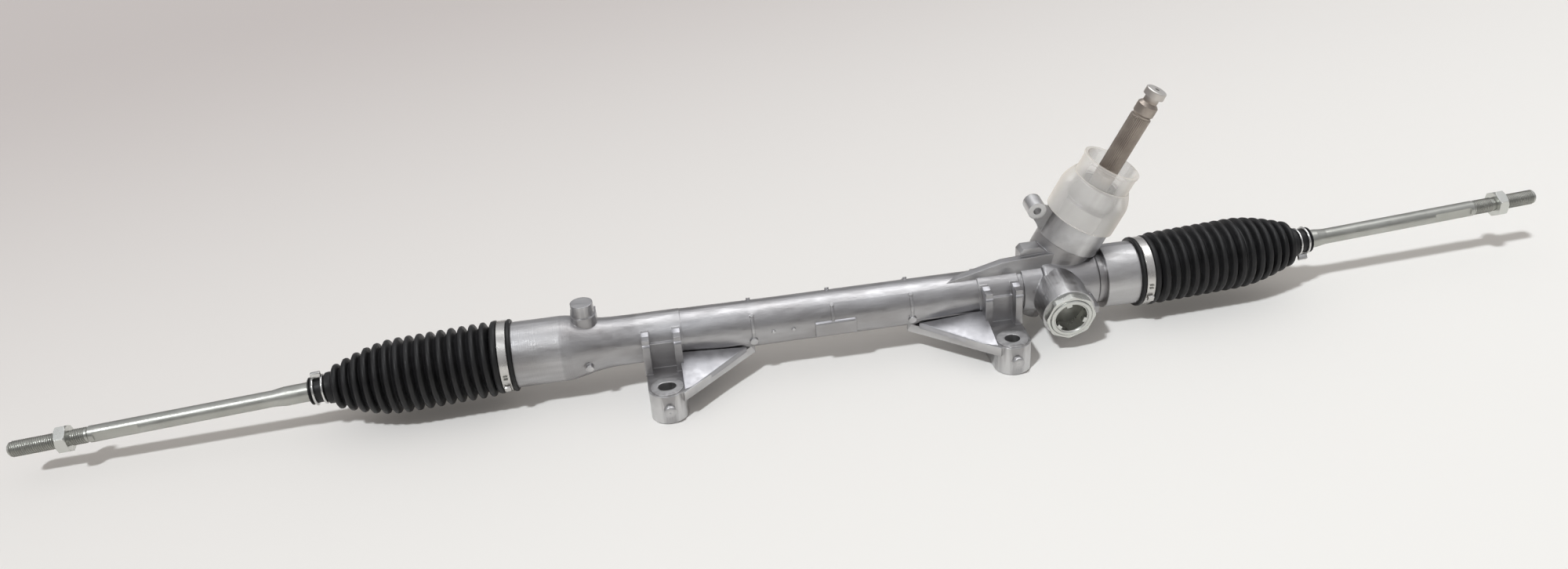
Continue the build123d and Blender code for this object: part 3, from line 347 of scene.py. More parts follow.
# %% Rubber and plastics
rubber = finish("boot_rubber", (0.005, 0.005, 0.0055), (0.010, 0.010, 0.011), (0.36, 0.52),
                metallic=0.0, blotch=50, grain=2200, bump=0.2, edge=0.0, specular_ior_level=0.36)
acetal = finish("natural_acetal", (0.76, 0.74, 0.66), (0.82, 0.80, 0.73), (0.35, 0.5),
                metallic=0.0)
milky = finish("milky_cap", (0.86, 0.84, 0.81), (0.92, 0.91, 0.89), (0.30, 0.42), metallic=0.0,
               blotch=30, bump=0.05, edge=0.0006)
print("materials", len(bpy.data.materials))

# %% [markdown]
# ## The milky cap
#
# The metal under the cap shows through it. Where its wall is seen edge-on there
# is more plastic in the way, so it looks denser and yellower. Layer Weight gives
# that angle, and drives both the Alpha and the colour.

# %% Milky plastic
CAP_FACING, CAP_EDGE_ON, CAP_EDGE_COLOUR = 0.24, 0.72, (0.80, 0.70, 0.58)
FACING_BLEND = 0.35
DENSER_FROM, DENSER_TO = 0.15, 0.75
YELLOWER_FROM, YELLOWER_TO, YELLOWER_SHARE = 0.3, 0.95, 0.8


def let_light_through(material):
    """Milky plastic: thin where it faces the eye, denser and yellower edge-on."""
    tree = material.node_tree
    shader = tree.nodes["Principled BSDF"]
    weight = tree.nodes.new("ShaderNodeLayerWeight")
    weight.inputs["Blend"].default_value = FACING_BLEND
    side = weight.outputs["Facing"]
    colour = shader.inputs["Base Color"].links[0].from_socket
    density = spread(tree, side, CAP_FACING, CAP_EDGE_ON, DENSER_FROM, DENSER_TO)
    tree.links.new(density, shader.inputs["Alpha"])
    yellow = spread(tree, side, 0.0, YELLOWER_SHARE, YELLOWER_FROM, YELLOWER_TO)
    colour = blend_colours(tree, yellow, colour, CAP_EDGE_COLOUR)
    tree.links.new(colour, shader.inputs["Base Color"])


let_light_through(milky)
print("light comes through", milky.name)

# %% [markdown]
# ## Turned ends
#
# Both ends of the casting were turned in a lathe, for the boots to sit on, and
# show fine rings. Noise along X alone gives rings, and a comparison keeps them
# to those two stretches. They also make the metal there a little rougher.

# %% Lathe lines
TURNED_SPANS = [(-0.374, -0.330), (0.086, 0.113)]
RING_SCALE, RING_DETAIL = 1400, 3
RING_STRENGTH, RING_DEPTH, RING_ROUGHNESS = 0.35, 0.0003, 0.12


def add_lathe_lines(material, spans):
    """Fine rings on the stretches along X, in metres, where the casting was turned."""
    tree = material.node_tree
    shader = tree.nodes["Principled BSDF"]
    relief = shader.inputs["Normal"].links[0].from_node
    rough = shader.inputs["Roughness"].links[0].from_socket
    place = tree.nodes.new("ShaderNodeTexCoord")
    parts = tree.nodes.new("ShaderNodeSeparateXYZ")
    tree.links.new(place.outputs["Object"], parts.inputs["Vector"])
    along = parts.outputs["X"]
    rings = tree.nodes.new("ShaderNodeTexNoise")
    rings.noise_dimensions = "1D"
    rings.inputs["Scale"].default_value = RING_SCALE
    rings.inputs["Detail"].default_value = RING_DETAIL
    tree.links.new(along, rings.inputs["W"])
    turned_part = 0.0
    for low, high in spans:
        inside = work_out(tree, "COMPARE", along, (low + high) / 2, (high - low) / 2)
        turned_part = work_out(tree, "MAXIMUM", turned_part, inside)
    depth = work_out(tree, "MULTIPLY", turned_part, rings.outputs["Fac"])
    lines = tree.nodes.new("ShaderNodeBump")
    lines.inputs["Strength"].default_value = RING_STRENGTH
    lines.inputs["Distance"].default_value = RING_DEPTH
    tree.links.new(depth, lines.inputs["Height"])
    tree.links.new(relief.outputs["Normal"], lines.inputs["Normal"])
    tree.links.new(lines.outputs["Normal"], shader.inputs["Normal"])
    rougher = work_out(tree, "MULTIPLY_ADD", depth, RING_ROUGHNESS, rough)
    tree.links.new(rougher, shader.inputs["Roughness"])


add_lathe_lines(cast, TURNED_SPANS)
print("lathe lines on", cast.name)

# %% [markdown]
# ## Finishes on the solids
#
# Every solid keeps its shape and only gets a finish. Pieces of one stock share
# one finish, as they would in the factory.


# %% Dress the solids
def paint(material, *names):
    """Give solids a finish."""
    for name in names:
        slots = nodes[name].data.materials
        slots.clear()
        slots.append(material)
    return len(names)


painted = paint(cast, "rack_housing", "rack_yoke")
painted += paint(bright_steel, "rack_bar", "pinion_bearing_inner", "pinion_bearing_outer",
                 "pinion_bearing_balls")
painted += paint(shaft_steel, "pinion_shaft")
painted += paint(acetal, "rack_bush", "yoke_liner_pad", "pinion_bush", "pinion_bearing_cage",
                 "left_ball_race", "right_ball_race")
painted += paint(spring_steel, "rack_bush_clip", "yoke_spring", "pinion_circlip",
                 "bearing_retainer")
painted += paint(rubber, "yoke_o_ring", "pinion_seal")
painted += paint(zinc, "yoke_plug", "yoke_lock_nut", "pinion_end_cap", "left_lock_washer",
                 "right_lock_washer", "left_jam_nut", "right_jam_nut")
painted += paint(rod_steel, "left_tie_rod", "right_tie_rod", "left_inner_socket",
                 "right_inner_socket")
painted += paint(milky, "dust_cap")
print("painted", painted, "solids")

# %% [markdown]
# ## The shaft's head
#
# The pinion shaft is brown with oil, but its head is bright and has a lathe's
# centre mark, whose hollow is a painted dark spot of shade. Both are told apart by their place
# along the shaft's own axis.

# %% Bright head of the shaft
LEAN, DIP = radians(25.5), radians(8)
SHAFT_AXIS = Vector((sin(LEAN), -sin(DIP) * cos(LEAN), cos(DIP) * cos(LEAN)))
PINION_OFFSET, CROSSING_X, SHAFT_END = 14.738, 47.5, 169.7
SETBACK, HEIGHT = 50.0, 39.0
# The centre hole is not modelled, so its shade is painted as a small dark spot.
HEAD_COLOUR, FACE_COLOUR, CENTRE_HOLE_SHADE_COLOUR = (0.62, 0.59, 0.56), (0.80, 0.78, 0.75), (0.16, 0.15, 0.14)
HEAD_FROM, HEAD_TO, HEAD_SHARE = -9.0, -6.0, 0.75
FACE_FROM, FACE_TO = -0.7, -0.3
MARK_R, MARK_FADE_R = 1.5, 2.0

crossing = Vector((CROSSING_X, SETBACK, HEIGHT)) * MM
shaft_origin = crossing + Vector((0, cos(DIP), sin(DIP))) * PINION_OFFSET * MM
head_centre = shaft_origin + SHAFT_AXIS * SHAFT_END * MM


def brighten_head(material):
    """Paler metal on the shaft's end face, with painted shade for the centre hole at its centre.
    """
    tree = material.node_tree
    shader = tree.nodes["Principled BSDF"]
    colour = shader.inputs["Base Color"].links[0].from_socket
    place = tree.nodes.new("ShaderNodeTexCoord")
    offset = tree.nodes.new("ShaderNodeVectorMath")
    along = tree.nodes.new("ShaderNodeVectorMath")
    distance = tree.nodes.new("ShaderNodeVectorMath")
    offset.operation, along.operation, distance.operation = "SUBTRACT", "DOT_PRODUCT", "LENGTH"
    offset.inputs[1].default_value = head_centre
    along.inputs[1].default_value = SHAFT_AXIS
    tree.links.new(place.outputs["Object"], offset.inputs[0])
    tree.links.new(offset.outputs["Vector"], along.inputs[0])
    tree.links.new(offset.outputs["Vector"], distance.inputs[0])
    station = along.outputs["Value"]
    head = spread(tree, station, 0.0, HEAD_SHARE, HEAD_FROM * MM, HEAD_TO * MM)
    face = spread(tree, station, 0.0, 1.0, FACE_FROM * MM, FACE_TO * MM)
    # Painted shade of the centre hole: a dark spot in the middle of the end face.
    mark = spread(tree, distance.outputs["Value"], 1.0, 0.0, MARK_R * MM, MARK_FADE_R * MM)
    for mask, paler in ((head, HEAD_COLOUR), (face, FACE_COLOUR), (mark, CENTRE_HOLE_SHADE_COLOUR)):
        colour = blend_colours(tree, mask, colour, paler)
    tree.links.new(colour, shader.inputs["Base Color"])


brighten_head(shaft_steel)
print("head at", [round(v, 4) for v in head_centre])

# %% [markdown]
# ## Working on one piece
#
# An operator acts on all that is selected, so each step starts by deselecting
# everything. A piece is made about Z, where its sizes are plain, then laid on
# its real axis, and the move is applied so that its object stays at the origin.

# %% Helpers for one piece
SAME_PLACE = 2e-6


def start_clean(piece=None):
    """Deselect everything, so that an operator acts on one piece alone."""
    if bpy.context.object and bpy.context.object.mode != "OBJECT":
        bpy.ops.object.mode_set(mode="OBJECT")
    bpy.ops.object.select_all(action="DESELECT")
    if piece:
        piece.select_set(True)
        bpy.context.view_layer.objects.active = piece


def lay_on(piece, axis):
    """Move a piece made about Z on to its real axis, and apply the move."""
    start_clean(piece)
    piece.matrix_world = axis @ piece.matrix_world
    bpy.ops.object.transform_apply(location=True, rotation=True, scale=True)
    return piece


def recalculate(piece):
    """Merge doubles and turn every face outwards."""
    start_clean(piece)
    bpy.ops.object.mode_set(mode="EDIT")
    bpy.ops.mesh.select_all(action="SELECT")
    bpy.ops.mesh.remove_doubles(threshold=SAME_PLACE)
    bpy.ops.mesh.normals_make_consistent(inside=False)
    bpy.ops.object.mode_set(mode="OBJECT")


def named(name):
    """Name the piece that an operator has just added, and apply its place."""
    piece = bpy.context.object
    piece.name = piece.data.name = name
    bpy.ops.object.transform_apply(location=True, rotation=True, scale=True)
    return piece


def dress(piece, material, smooth_angle=40):
    """Smooth a piece up to an angle and give it a finish."""
    start_clean(piece)
    bpy.ops.object.shade_smooth_by_angle(angle=radians(smooth_angle))
    piece.data.materials.append(material)
    return piece


print("helpers for one piece ready")

# %% [markdown]
# What repeats on the rack is modelled once, on the first of its places. The
# others are copies, each with its own mesh, laid on the places that follow.


# %% Copies
def repeated(make, places):
    """A piece made on the first of some named places and copied to the others."""
    (first_name, first_place), *others = places.items()
    pieces = [make(first_name, first_place)]
    for name, place in others:
        start_clean(pieces[0])
        bpy.ops.object.duplicate(linked=False)
        copy = bpy.context.object
        copy.name = copy.data.name = name
        pieces.append(lay_on(copy, place @ first_place.inverted()))
    return pieces


def turn_about(axis, degrees):
    """A frame turned about its own Z."""
    return axis @ Matrix.Rotation(radians(degrees), 4, "Z")


def slide_along(axis, station):
    """A frame moved along its own Z, in millimetres."""
    return axis @ Matrix.Translation((0, 0, station * MM))


print("helpers for copies ready")

# %% [markdown]
# ## Turning a piece by hand
#
# Boots, cuffs and bands are round, so each starts as a circle that is extruded
# and scaled ring by ring along its axis, and is then laid on the real axis. A
# closed outline comes back to its first ring, and the two are merged.


# %% Turning helper
def turned(name, axis, outline, material, segments=96, smooth_angle=40):
    """A closed outline of (station, radius) pairs in millimetres, turned about an axis."""
    start_clean()
    station, radius = outline[0]
    bpy.ops.mesh.primitive_circle_add(vertices=segments, radius=radius * MM,
                                      location=(0, 0, station * MM))
    piece = named(name)
    bpy.ops.object.mode_set(mode="EDIT")
    bpy.ops.mesh.select_all(action="SELECT")
    for next_station, next_radius in outline[1:] + outline[:1]:
        bpy.ops.mesh.extrude_region_move(
            TRANSFORM_OT_translate={"value": (0, 0, (next_station - station) * MM)})
        size = next_radius / radius
        bpy.ops.transform.resize(value=(size, size, 1), center_override=(0, 0, next_station * MM))
        station, radius = next_station, next_radius
    bpy.ops.object.mode_set(mode="OBJECT")
    recalculate(piece)
    return dress(lay_on(piece, axis), material, smooth_angle)


def axis_frame(origin, direction, up=(0, 0, 1)):
    """A matrix whose Z runs along an axis and whose X points as near up as it can."""
    z = Vector(direction).normalized()
    x = (Vector(up) - z * z.dot(Vector(up))).normalized()
    return Matrix.Translation(Vector(origin)) @ Matrix((x, z.cross(x), z)).transposed().to_4x4()


print("turning helper ready")

# %% [markdown]
# ## The axes of the two ends
#
# Each tie rod swings on a ball, so it isn't in line with the rack. The boot's
# cuff sits on the housing, its small end is clipped to the rod, and its folds
# run straight from one to the other. The sizes repeat those of the solids.

# %% Places
LIPS = {"left": -373.6, "right": 112.2}
BALLS = {"left": -413.7, "right": 139.3}
SIDES = {"left": -1, "right": 1}
RISE = {"left": radians(-2.5), "right": radians(1.9)}
BACK = {"left": radians(-2.4), "right": radians(2.7)}
CLIPS = {"left": 107.7, "right": 120.4}
SEAT_LENGTH = 14.0


def rod_direction(hand):
    """The way a tie rod points, away from the rack."""
    return Vector((SIDES[hand] * cos(RISE[hand]) * cos(BACK[hand]),
                   cos(RISE[hand]) * sin(BACK[hand]), sin(RISE[hand])))


def on_rod(hand, station):
    """A point on a tie rod's axis, in metres."""
    return on_rack(BALLS[hand]) + rod_direction(hand) * station * MM


def on_rack(x):
    """A point on the rack's axis, in metres."""
    return Vector((x, SETBACK, HEIGHT)) * MM


rod_axes = {hand: axis_frame(on_rod(hand, 0), rod_direction(hand)) for hand in SIDES}
lip_axes = {hand: axis_frame(on_rack(LIPS[hand]), (SIDES[hand], 0, 0)) for hand in SIDES}
for hand in SIDES:
    print(hand, "clip at", [round(v, 4) for v in on_rod(hand, CLIPS[hand])])

# %% [markdown]
# ## Boots
#
# A real boot is one moulding with round ridges and tight valleys. Fifteen
# ridges are drawn from one small profile, and the last six grow smaller towards
# the rod. The outline runs out along the folds and back along a smooth inside.

# %% Boot outline
RIDGES, TAPER_RIDGES = 15, 6
RIDGE_R, VALLEY_R = 28.5, 24.0
SMALL_RIDGE_R = {"left": 17.0, "right": 18.6}
LEAST_VALLEY_R, BOOT_END_R = 12.5, 11.4
FIRST_FOLD = SEAT_LENGTH + 2.2
BOOT_WALL = 1.0
FOLD_DEPTH = RIDGE_R - VALLEY_R
RIDGE_SHAPE = [(-0.5, -1.0), (-0.38, -0.84), (-0.27, -0.36), (-0.15, -0.06), (0.0, 0.0),
               (0.15, -0.06), (0.27, -0.36), (0.38, -0.84)]


def ridge_radius(hand, index):
    """The crest radius of a ridge, smaller over the last few."""
    share = min(1, (RIDGES - 1 - index) / TAPER_RIDGES)
    return SMALL_RIDGE_R[hand] + (RIDGE_R - SMALL_RIDGE_R[hand]) * sin(share * pi / 2)


def valley_radius(hand, index):
    """The radius of the valley before a ridge."""
    if index == 0:
        return VALLEY_R
    return max(LEAST_VALLEY_R, ridge_radius(hand, index - 1) - FOLD_DEPTH)


def fold_outline(hand, start, stop, step):
    """Outer points of some ridges, then inner points back, a constant wall inside."""
    outer = []
    for index in range(start, stop):
        crest = FIRST_FOLD + (index + 0.5) * step
        for along, down in RIDGE_SHAPE:
            radius = ridge_radius(hand, index) + down * FOLD_DEPTH
            outer.append((crest + along * step, radius))
        outer[-len(RIDGE_SHAPE)] = (crest - 0.5 * step, valley_radius(hand, index))
    last = stop == RIDGES
    end_r = BOOT_END_R if last else valley_radius(hand, stop)
    outer.append((FIRST_FOLD + stop * step, end_r))
    inner = [(FIRST_FOLD + index * step, valley_radius(hand, index) - BOOT_WALL)
             for index in range(stop, start - 1, -1)]
    inner[0] = (inner[0][0] - (BOOT_WALL if last else 0), end_r - BOOT_WALL)
    return outer + inner


for hand in SIDES:
    print(hand, "ridges", round(ridge_radius(hand, 0), 1), "to",
          round(ridge_radius(hand, RIDGES - 1), 1), "mm")

# %% [markdown]
# A real boot's folds even out as the rack moves, and its small end follows the rod.
# Here the folds are parted in valleys into three stretches, named slide, rise and
# sweep, each listed with the bodies at its two ends.

# %% Boot stretches
CUFF_LENGTH, CUFF_PROUD = 17.0, 4.5
SLIDE_PAST_BALL, RISE_RIDGES = 47, 3
CUFF_START = CUFF_PROUD - CUFF_LENGTH


def split_ridges(hand, step):
    """Ridge numbers at which a boot's three stretches part."""
    pivot = abs(BALLS[hand] - LIPS[hand])
    slide_end = ceil((pivot + SLIDE_PAST_BALL - FIRST_FOLD) / step)
    return slide_end, slide_end + RISE_RIDGES


for hand in SIDES:
    lip, clip = on_rack(LIPS[hand]), on_rod(hand, CLIPS[hand])
    reach = (on_rod(hand, CLIPS[hand] + CUFF_START) - lip).length / MM
    step = (reach - FIRST_FOLD) / RIDGES
    folds_axis = axis_frame(lip, clip - lip)
    slide_end, rise_end = split_ridges(hand, step)
    race, rod = hand + "_ball_race", hand + "_tie_rod"
    stretches = [("slide", 0, slide_end, "housing", "rack"),
                 ("rise", slide_end, rise_end, "rack", race),
                 ("sweep", rise_end, RIDGES, race, rod)]
    for label, start, stop, near, far in stretches:
        outline = fold_outline(hand, start, stop, step)
        piece = turned(f"{hand}_boot_{label}", folds_axis, outline, rubber, 96, 60)
        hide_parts(hand + "_bellows")
        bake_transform(piece)
    print(hand, "boot parts at ridges", slide_end, rise_end, "pitch", round(step, 2))

# %% [markdown]
# ## Cuffs
#
# The cuffs are stiff rings. The large one has a lip at its mouth, a seat for
# the band and a rounded shoulder. The small one hugs the rod's swell, and its
# stations count from the middle of its clip.

# %% Boot cuffs
LARGE_CUFF = [(0.2, 24.1), (0.2, 26.8), (0.8, 27.5), (2.4, 27.6), (3.2, 26.6), (10.4, 26.5),
              (10.9, 27.5), (11.3, 27.8), (13.2, 27.7), (14.7, 27.2), (15.5, 25.8), (16.2, 24.2),
              (16.2, 23.0), (14.4, 23.0), (14.4, 24.1)]
SMALL_CUFF = [(CUFF_START - 0.8, 10.0), (CUFF_START - 0.8, 11.4), (CUFF_START + 1.5, 12.0),
              (CUFF_START + 4.0, 11.8), (CUFF_START + 5.2, 9.6), (CUFF_PROUD - 1.6, 9.5),
              (CUFF_PROUD - 1.2, 10.3), (CUFF_PROUD - 0.3, 10.3), (CUFF_PROUD, 9.8),
              (CUFF_PROUD, 7.45), (CUFF_START + 1.0, 7.45)]


def make_large_cuff(name, place):
    """The stiff ring that sits on the housing."""
    return turned(name, place, LARGE_CUFF, rubber, 96, 50)


def make_small_cuff(name, place):
    """The stiff ring that hugs the rod."""
    return turned(name, place, SMALL_CUFF, rubber, 64, 50)


clip_axes = {hand: slide_along(rod_axes[hand], CLIPS[hand]) for hand in SIDES}
large = repeated(make_large_cuff, {hand + "_boot_cuff": lip_axes[hand] for hand in SIDES})
small = repeated(make_small_cuff, {hand + "_boot_small_cuff": clip_axes[hand] for hand in SIDES})
for hand, cuff, small_cuff in zip(SIDES, large, small):
    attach(cuff, "housing")
    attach(small_cuff, hand + "_tie_rod")
    for piece in (cuff, small_cuff):
        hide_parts(hand + "_bellows")
print("cuffs", [piece.name for piece in large + small])

# %% [markdown]
# ## Strip and blocks
#
# A stretch of steel strip is one face, spun about the axis through the angle
# that the strip covers. Folded lugs are solid blocks here, since their folds
# are closed. A cube is added at its size and its edges are bevelled.


# %% Strip and block helpers
def strip_arc(name, axis, low_station, high_station, low_r, high_r, degrees, material, steps):
    """A curved strip that winds clockwise about Z from X, its section in millimetres."""
    start_clean()
    middle = ((low_r + high_r) / 2 * MM, 0, (low_station + high_station) / 2 * MM)
    bpy.ops.mesh.primitive_plane_add(size=1.0, location=middle, rotation=(pi / 2, 0, 0))
    piece = named(name)
    bpy.ops.object.mode_set(mode="EDIT")
    bpy.ops.mesh.select_all(action="SELECT")
    section = ((high_r - low_r) * MM, 1, (high_station - low_station) * MM)
    bpy.ops.transform.resize(value=section, center_override=middle)
    bpy.ops.mesh.spin(steps=steps, angle=radians(degrees), center=(0, 0, 0), axis=(0, 0, 1))
    bpy.ops.object.mode_set(mode="OBJECT")
    recalculate(piece)
    return dress(lay_on(piece, axis), material)


def add_bevel(piece, width, segments=2):
    """Round a piece's edges with a bevel that is applied."""
    start_clean(piece)
    rounding = piece.modifiers.new("rounding", "BEVEL")
    rounding.width = width * MM
    rounding.segments = segments
    bpy.ops.object.modifier_apply(modifier="rounding")
    return piece


def block(name, axis, centre, size, material, rounding=0.4):
    """A rounded block, its centre and size in millimetres in an axis's own frame."""
    start_clean()
    bpy.ops.mesh.primitive_cube_add(size=1.0, location=[v * MM for v in centre],
                                    scale=[v * MM for v in size])
    return dress(add_bevel(lay_on(named(name), axis), rounding), material)


print("strip and block helpers ready")

# %% [markdown]
# ## Wide bands
#
# Each boot is held on the housing by a steel strip, drawn tight by a folded ear.
# Its end lies over the first turn and shows two small catches. The ring is
# turned, its end is a spun strip, and ear and catches are blocks.

# %% Wide bands
BAND_INSET, BAND_WIDTH, BAND_LOW, BAND_THICK, BAND_EDGE = 3.5, 6.6, 26.45, 0.75, 0.15
BAND_TOP, BAND_END = BAND_LOW + BAND_THICK, BAND_INSET + BAND_WIDTH
BAND_MIDDLE = (BAND_INSET + BAND_END) / 2
BAND_RING = [(BAND_INSET, BAND_LOW), (BAND_INSET, BAND_TOP - BAND_EDGE),
             (BAND_INSET + BAND_EDGE, BAND_TOP), (BAND_END - BAND_EDGE, BAND_TOP),
             (BAND_END, BAND_TOP - BAND_EDGE), (BAND_END, BAND_LOW)]
EAR_ANGLES = {"left": -118.0, "right": 112.0}
TAIL_NEAR, TAIL_FAR, TAIL_INSET = 42, 94, 0.3
TOOTH_OFFSETS = {"7": 19.0, "12": 24.5}


def make_band_strip(name, place):
    """The ring of strip."""
    return turned(name, place, BAND_RING, strip_steel, 128)


def make_band_tail(name, place):
    """The end of the strip that lies over its first turn."""
    return strip_arc(name, place, BAND_INSET + TAIL_INSET, BAND_END - TAIL_INSET,
                     BAND_TOP - 0.05, BAND_TOP + 0.55, TAIL_FAR - TAIL_NEAR, strip_steel, 24)


def make_band_ear(name, place):
    """The folded ear that draws the strip tight."""
    return block(name, place, (BAND_TOP + 1.5, 0, BAND_MIDDLE), (3.0, 5.6, BAND_WIDTH - 1.4),
                 strip_steel, 1.1)


def make_band_tooth(name, place):
    """A small catch on the strip's end."""
    return block(name, place, (BAND_TOP + 0.6, 0, BAND_MIDDLE), (0.7, 1.0, 3.2), thread_steel,
                 0.2)


strips, tails, ears, teeth = {}, {}, {}, {}
for hand, ear in EAR_ANGLES.items():
    axis, way = lip_axes[hand], SIDES[hand]
    strips[hand + "_band_strip"] = axis
    tail_from = max(ear - way * TAIL_NEAR, ear - way * TAIL_FAR)
    tails[hand + "_band_tail"] = turn_about(axis, tail_from)
    ears[hand + "_band_ear"] = turn_about(axis, ear)
    for number, offset in TOOTH_OFFSETS.items():
        teeth[f"{hand}_band_tooth_{number}"] = turn_about(axis, ear - way * offset)

band_pieces = (repeated(make_band_strip, strips) + repeated(make_band_tail, tails)
               + repeated(make_band_ear, ears) + repeated(make_band_tooth, teeth))
for piece in band_pieces:
    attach(piece, "housing")
    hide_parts(piece.name.split("_")[0] + "_bellows_band")
print("band pieces", len(band_pieces))

# %% [markdown]
# ## Small clips
#
# The small clips are sprung rings of two wires, joined by a lug that pliers
# grip. A wire is a round outline, turned about the rod.

# %% Small clips
CLIP_WIRE, CLIP_SPREAD, CLIP_SHIFT, CLIP_R = 0.95, 3.4, -2.6, 10.4
WIRE_POINTS = 16
WIRE_OUTLINE = [(CLIP_WIRE * sin(turn * 2 * pi / WIRE_POINTS),
                 CLIP_R + CLIP_WIRE * cos(turn * 2 * pi / WIRE_POINTS))
                for turn in range(WIRE_POINTS)]
LUG_ANGLES = {"left": 0.0, "right": 150.0}


def make_clip_wire(name, place):
    """One round wire about the small cuff."""
    return turned(name, place, WIRE_OUTLINE, bright_steel, 72, 60)


def make_clip_lug(name, place):
    """The lug that joins the two wires."""
    return block(name, place, (CLIP_R + 2.4, 0, 0), (5.0, 3.4, 7.6), bright_steel, 0.9)


wires, lugs = {}, {}
for hand, angle in LUG_ANGLES.items():
    middle = slide_along(clip_axes[hand], CLIP_SHIFT)
    lugs[hand + "_clip_lug"] = turn_about(middle, angle)
    for number, shift in enumerate((-CLIP_SPREAD, CLIP_SPREAD)):
        wires[f"{hand}_clip_wire_{number}"] = slide_along(middle, shift)

clip_pieces = repeated(make_clip_wire, wires) + repeated(make_clip_lug, lugs)
for piece in clip_pieces:
    hand = piece.name.split("_")[0]
    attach(piece, hand + "_tie_rod")
    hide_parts(hand + "_bellows_clip")
print("clip pieces", len(clip_pieces))

# %% [markdown]
# ## Castings close up
#
# The ribs of each ear end in a slanted, ground face, and a short round stub
# stands out in front. These thin pieces lie on the casting and catch the light
# as the real faces do; the rib ends take the paler copy of the cast finish, which is partly
# painted light.

# %% Rib ends and stubs
BOLTS = {"left": (-263.0, 1), "right": (0.0, -1)}
RIB_SPACING, RIB_WIDTH, RIB_TOP_Y, RIB_TOP_Z, RIB_SLANT = 23.6, 6.0, 26.3, 49.2, 28
STUB_HEIGHT = 11.5
STUB = [(12.0, 0.6), (12.0, 4.7), (16.7, 4.7), (17.3, 4.2), (17.5, 3.2), (17.3, 0.6)]


def tilted(centre, degrees):
    """A frame at a point in millimetres, turned about X."""
    return Matrix.Translation(Vector(centre) * MM) @ Matrix.Rotation(radians(degrees), 4, "X")


def make_rib_end(name, place):
    """The slanted face at the top of a rib."""
    return block(name, place, (0, 0, 0), (RIB_WIDTH, 13, 5), cast_face, 0.5)


def make_ear_stub(name, place):
    """The short round stub in front of an ear."""
    return turned(name, place, STUB, cast, 40)


rib_ends, stubs = {}, {}
for hand, (bolt, way) in BOLTS.items():
    for number, side in enumerate((-1, 1)):
        top = (bolt + side * RIB_SPACING / 2, RIB_TOP_Y, RIB_TOP_Z)
        rib_ends[f"{hand}_ear_rib_end_{number}"] = tilted(top, RIB_SLANT)
    stubs[hand + "_ear_stub"] = axis_frame(Vector((bolt, 0, STUB_HEIGHT)) * MM, (0, -1, 0))
castings = repeated(make_rib_end, rib_ends) + repeated(make_ear_stub, stubs)
print("ear pieces", len(castings))

# %% [markdown]
# The upper face of a gusset slopes up to the tube. It is a triangle whose three
# corners are pulled to their places one at a time, then extruded down and
# rounded. The thin bar on the tube's front is one more block, tilted with it.

# %% Gusset faces and bar
GUSSET_NEAR, GUSSET_FAR, GUSSET_THICK, GUSSET_ROUNDING = 12.5, 64, 5.0, 0.7
BAR_CENTRE, BAR_TILT, BAR_SIZE = (-129.8, 31.9, 40.8), 35, (31, 2.0, 2.0)


def pull_corners(piece, corners):
    """Move each corner of a flat piece to its place in metres, one at a time."""
    for vertex, corner in zip(range(len(corners)), corners):
        bpy.ops.object.mode_set(mode="EDIT")
        bpy.ops.mesh.select_all(action="DESELECT")
        bpy.ops.object.mode_set(mode="OBJECT")
        piece.data.vertices[vertex].select = True
        way = Vector(corner) - piece.data.vertices[vertex].co
        bpy.ops.object.mode_set(mode="EDIT")
        bpy.ops.transform.translate(value=way)
    bpy.ops.object.mode_set(mode="OBJECT")


def slab(name, corners, thickness, material, rounding):
    """A flat plate below a triangle of points in millimetres."""
    start_clean()
    bpy.ops.mesh.primitive_circle_add(vertices=3, fill_type="NGON")
    piece = named(name)
    pull_corners(piece, [Vector(corner) * MM for corner in corners])
    bpy.ops.object.mode_set(mode="EDIT")
    bpy.ops.mesh.select_all(action="SELECT")
    bpy.ops.mesh.extrude_region_move(
        TRANSFORM_OT_translate={"value": (0, 0, -thickness * MM)})
    bpy.ops.object.mode_set(mode="OBJECT")
    recalculate(piece)
    return dress(add_bevel(piece, rounding), material)


# Gusset faces and the bar take the paler copy of the cast finish, partly painted light.
for hand, (bolt, way) in BOLTS.items():
    corners = [(bolt + way * GUSSET_NEAR, -8.5, 22.4), (bolt + way * GUSSET_FAR, 35, 27.5),
               (bolt + way * GUSSET_NEAR, 31.5, 33.0)]
    castings.append(slab(hand + "_ear_gusset_face", corners, GUSSET_THICK, cast_face,
                         GUSSET_ROUNDING))
castings.append(block("tube_mark_bar", tilted(BAR_CENTRE, BAR_TILT), (0, 0, 0), BAR_SIZE,
                      cast_face, 0.3))
for piece in castings:
    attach(piece, "housing")
print("pieces on the casting", len(castings))

# %% [markdown]
# ## The yoke's plug
#
# The plug is a deep cup with a threaded rim and three lugs for its key. Its wall
# is turned, its floor is a bevelled disc, and the lugs are small blocks.

# %% Yoke plug
PLUG_WALL = [(32.0, 12.4), (32.0, 16.2), (47.2, 16.2), (47.8, 15.6), (47.8, 13.6), (46.9, 12.9),
             (46.9, 12.4)]
PLUG_FLOOR_R, PLUG_FLOOR_THICK, PLUG_FLOOR_AT = 12.6, 2.5, 34.0
PLUG_LUG_ANGLES = (12, 132, 252)
yoke_axis = axis_frame(crossing, (0, -cos(DIP), -sin(DIP)))


def make_plug_lug(name, place):
    """A lug for the key, inside the cup."""
    return block(name, place, (11.6, 0, 44.9), (3.2, 4.6, 4.4), zinc, 0.6)


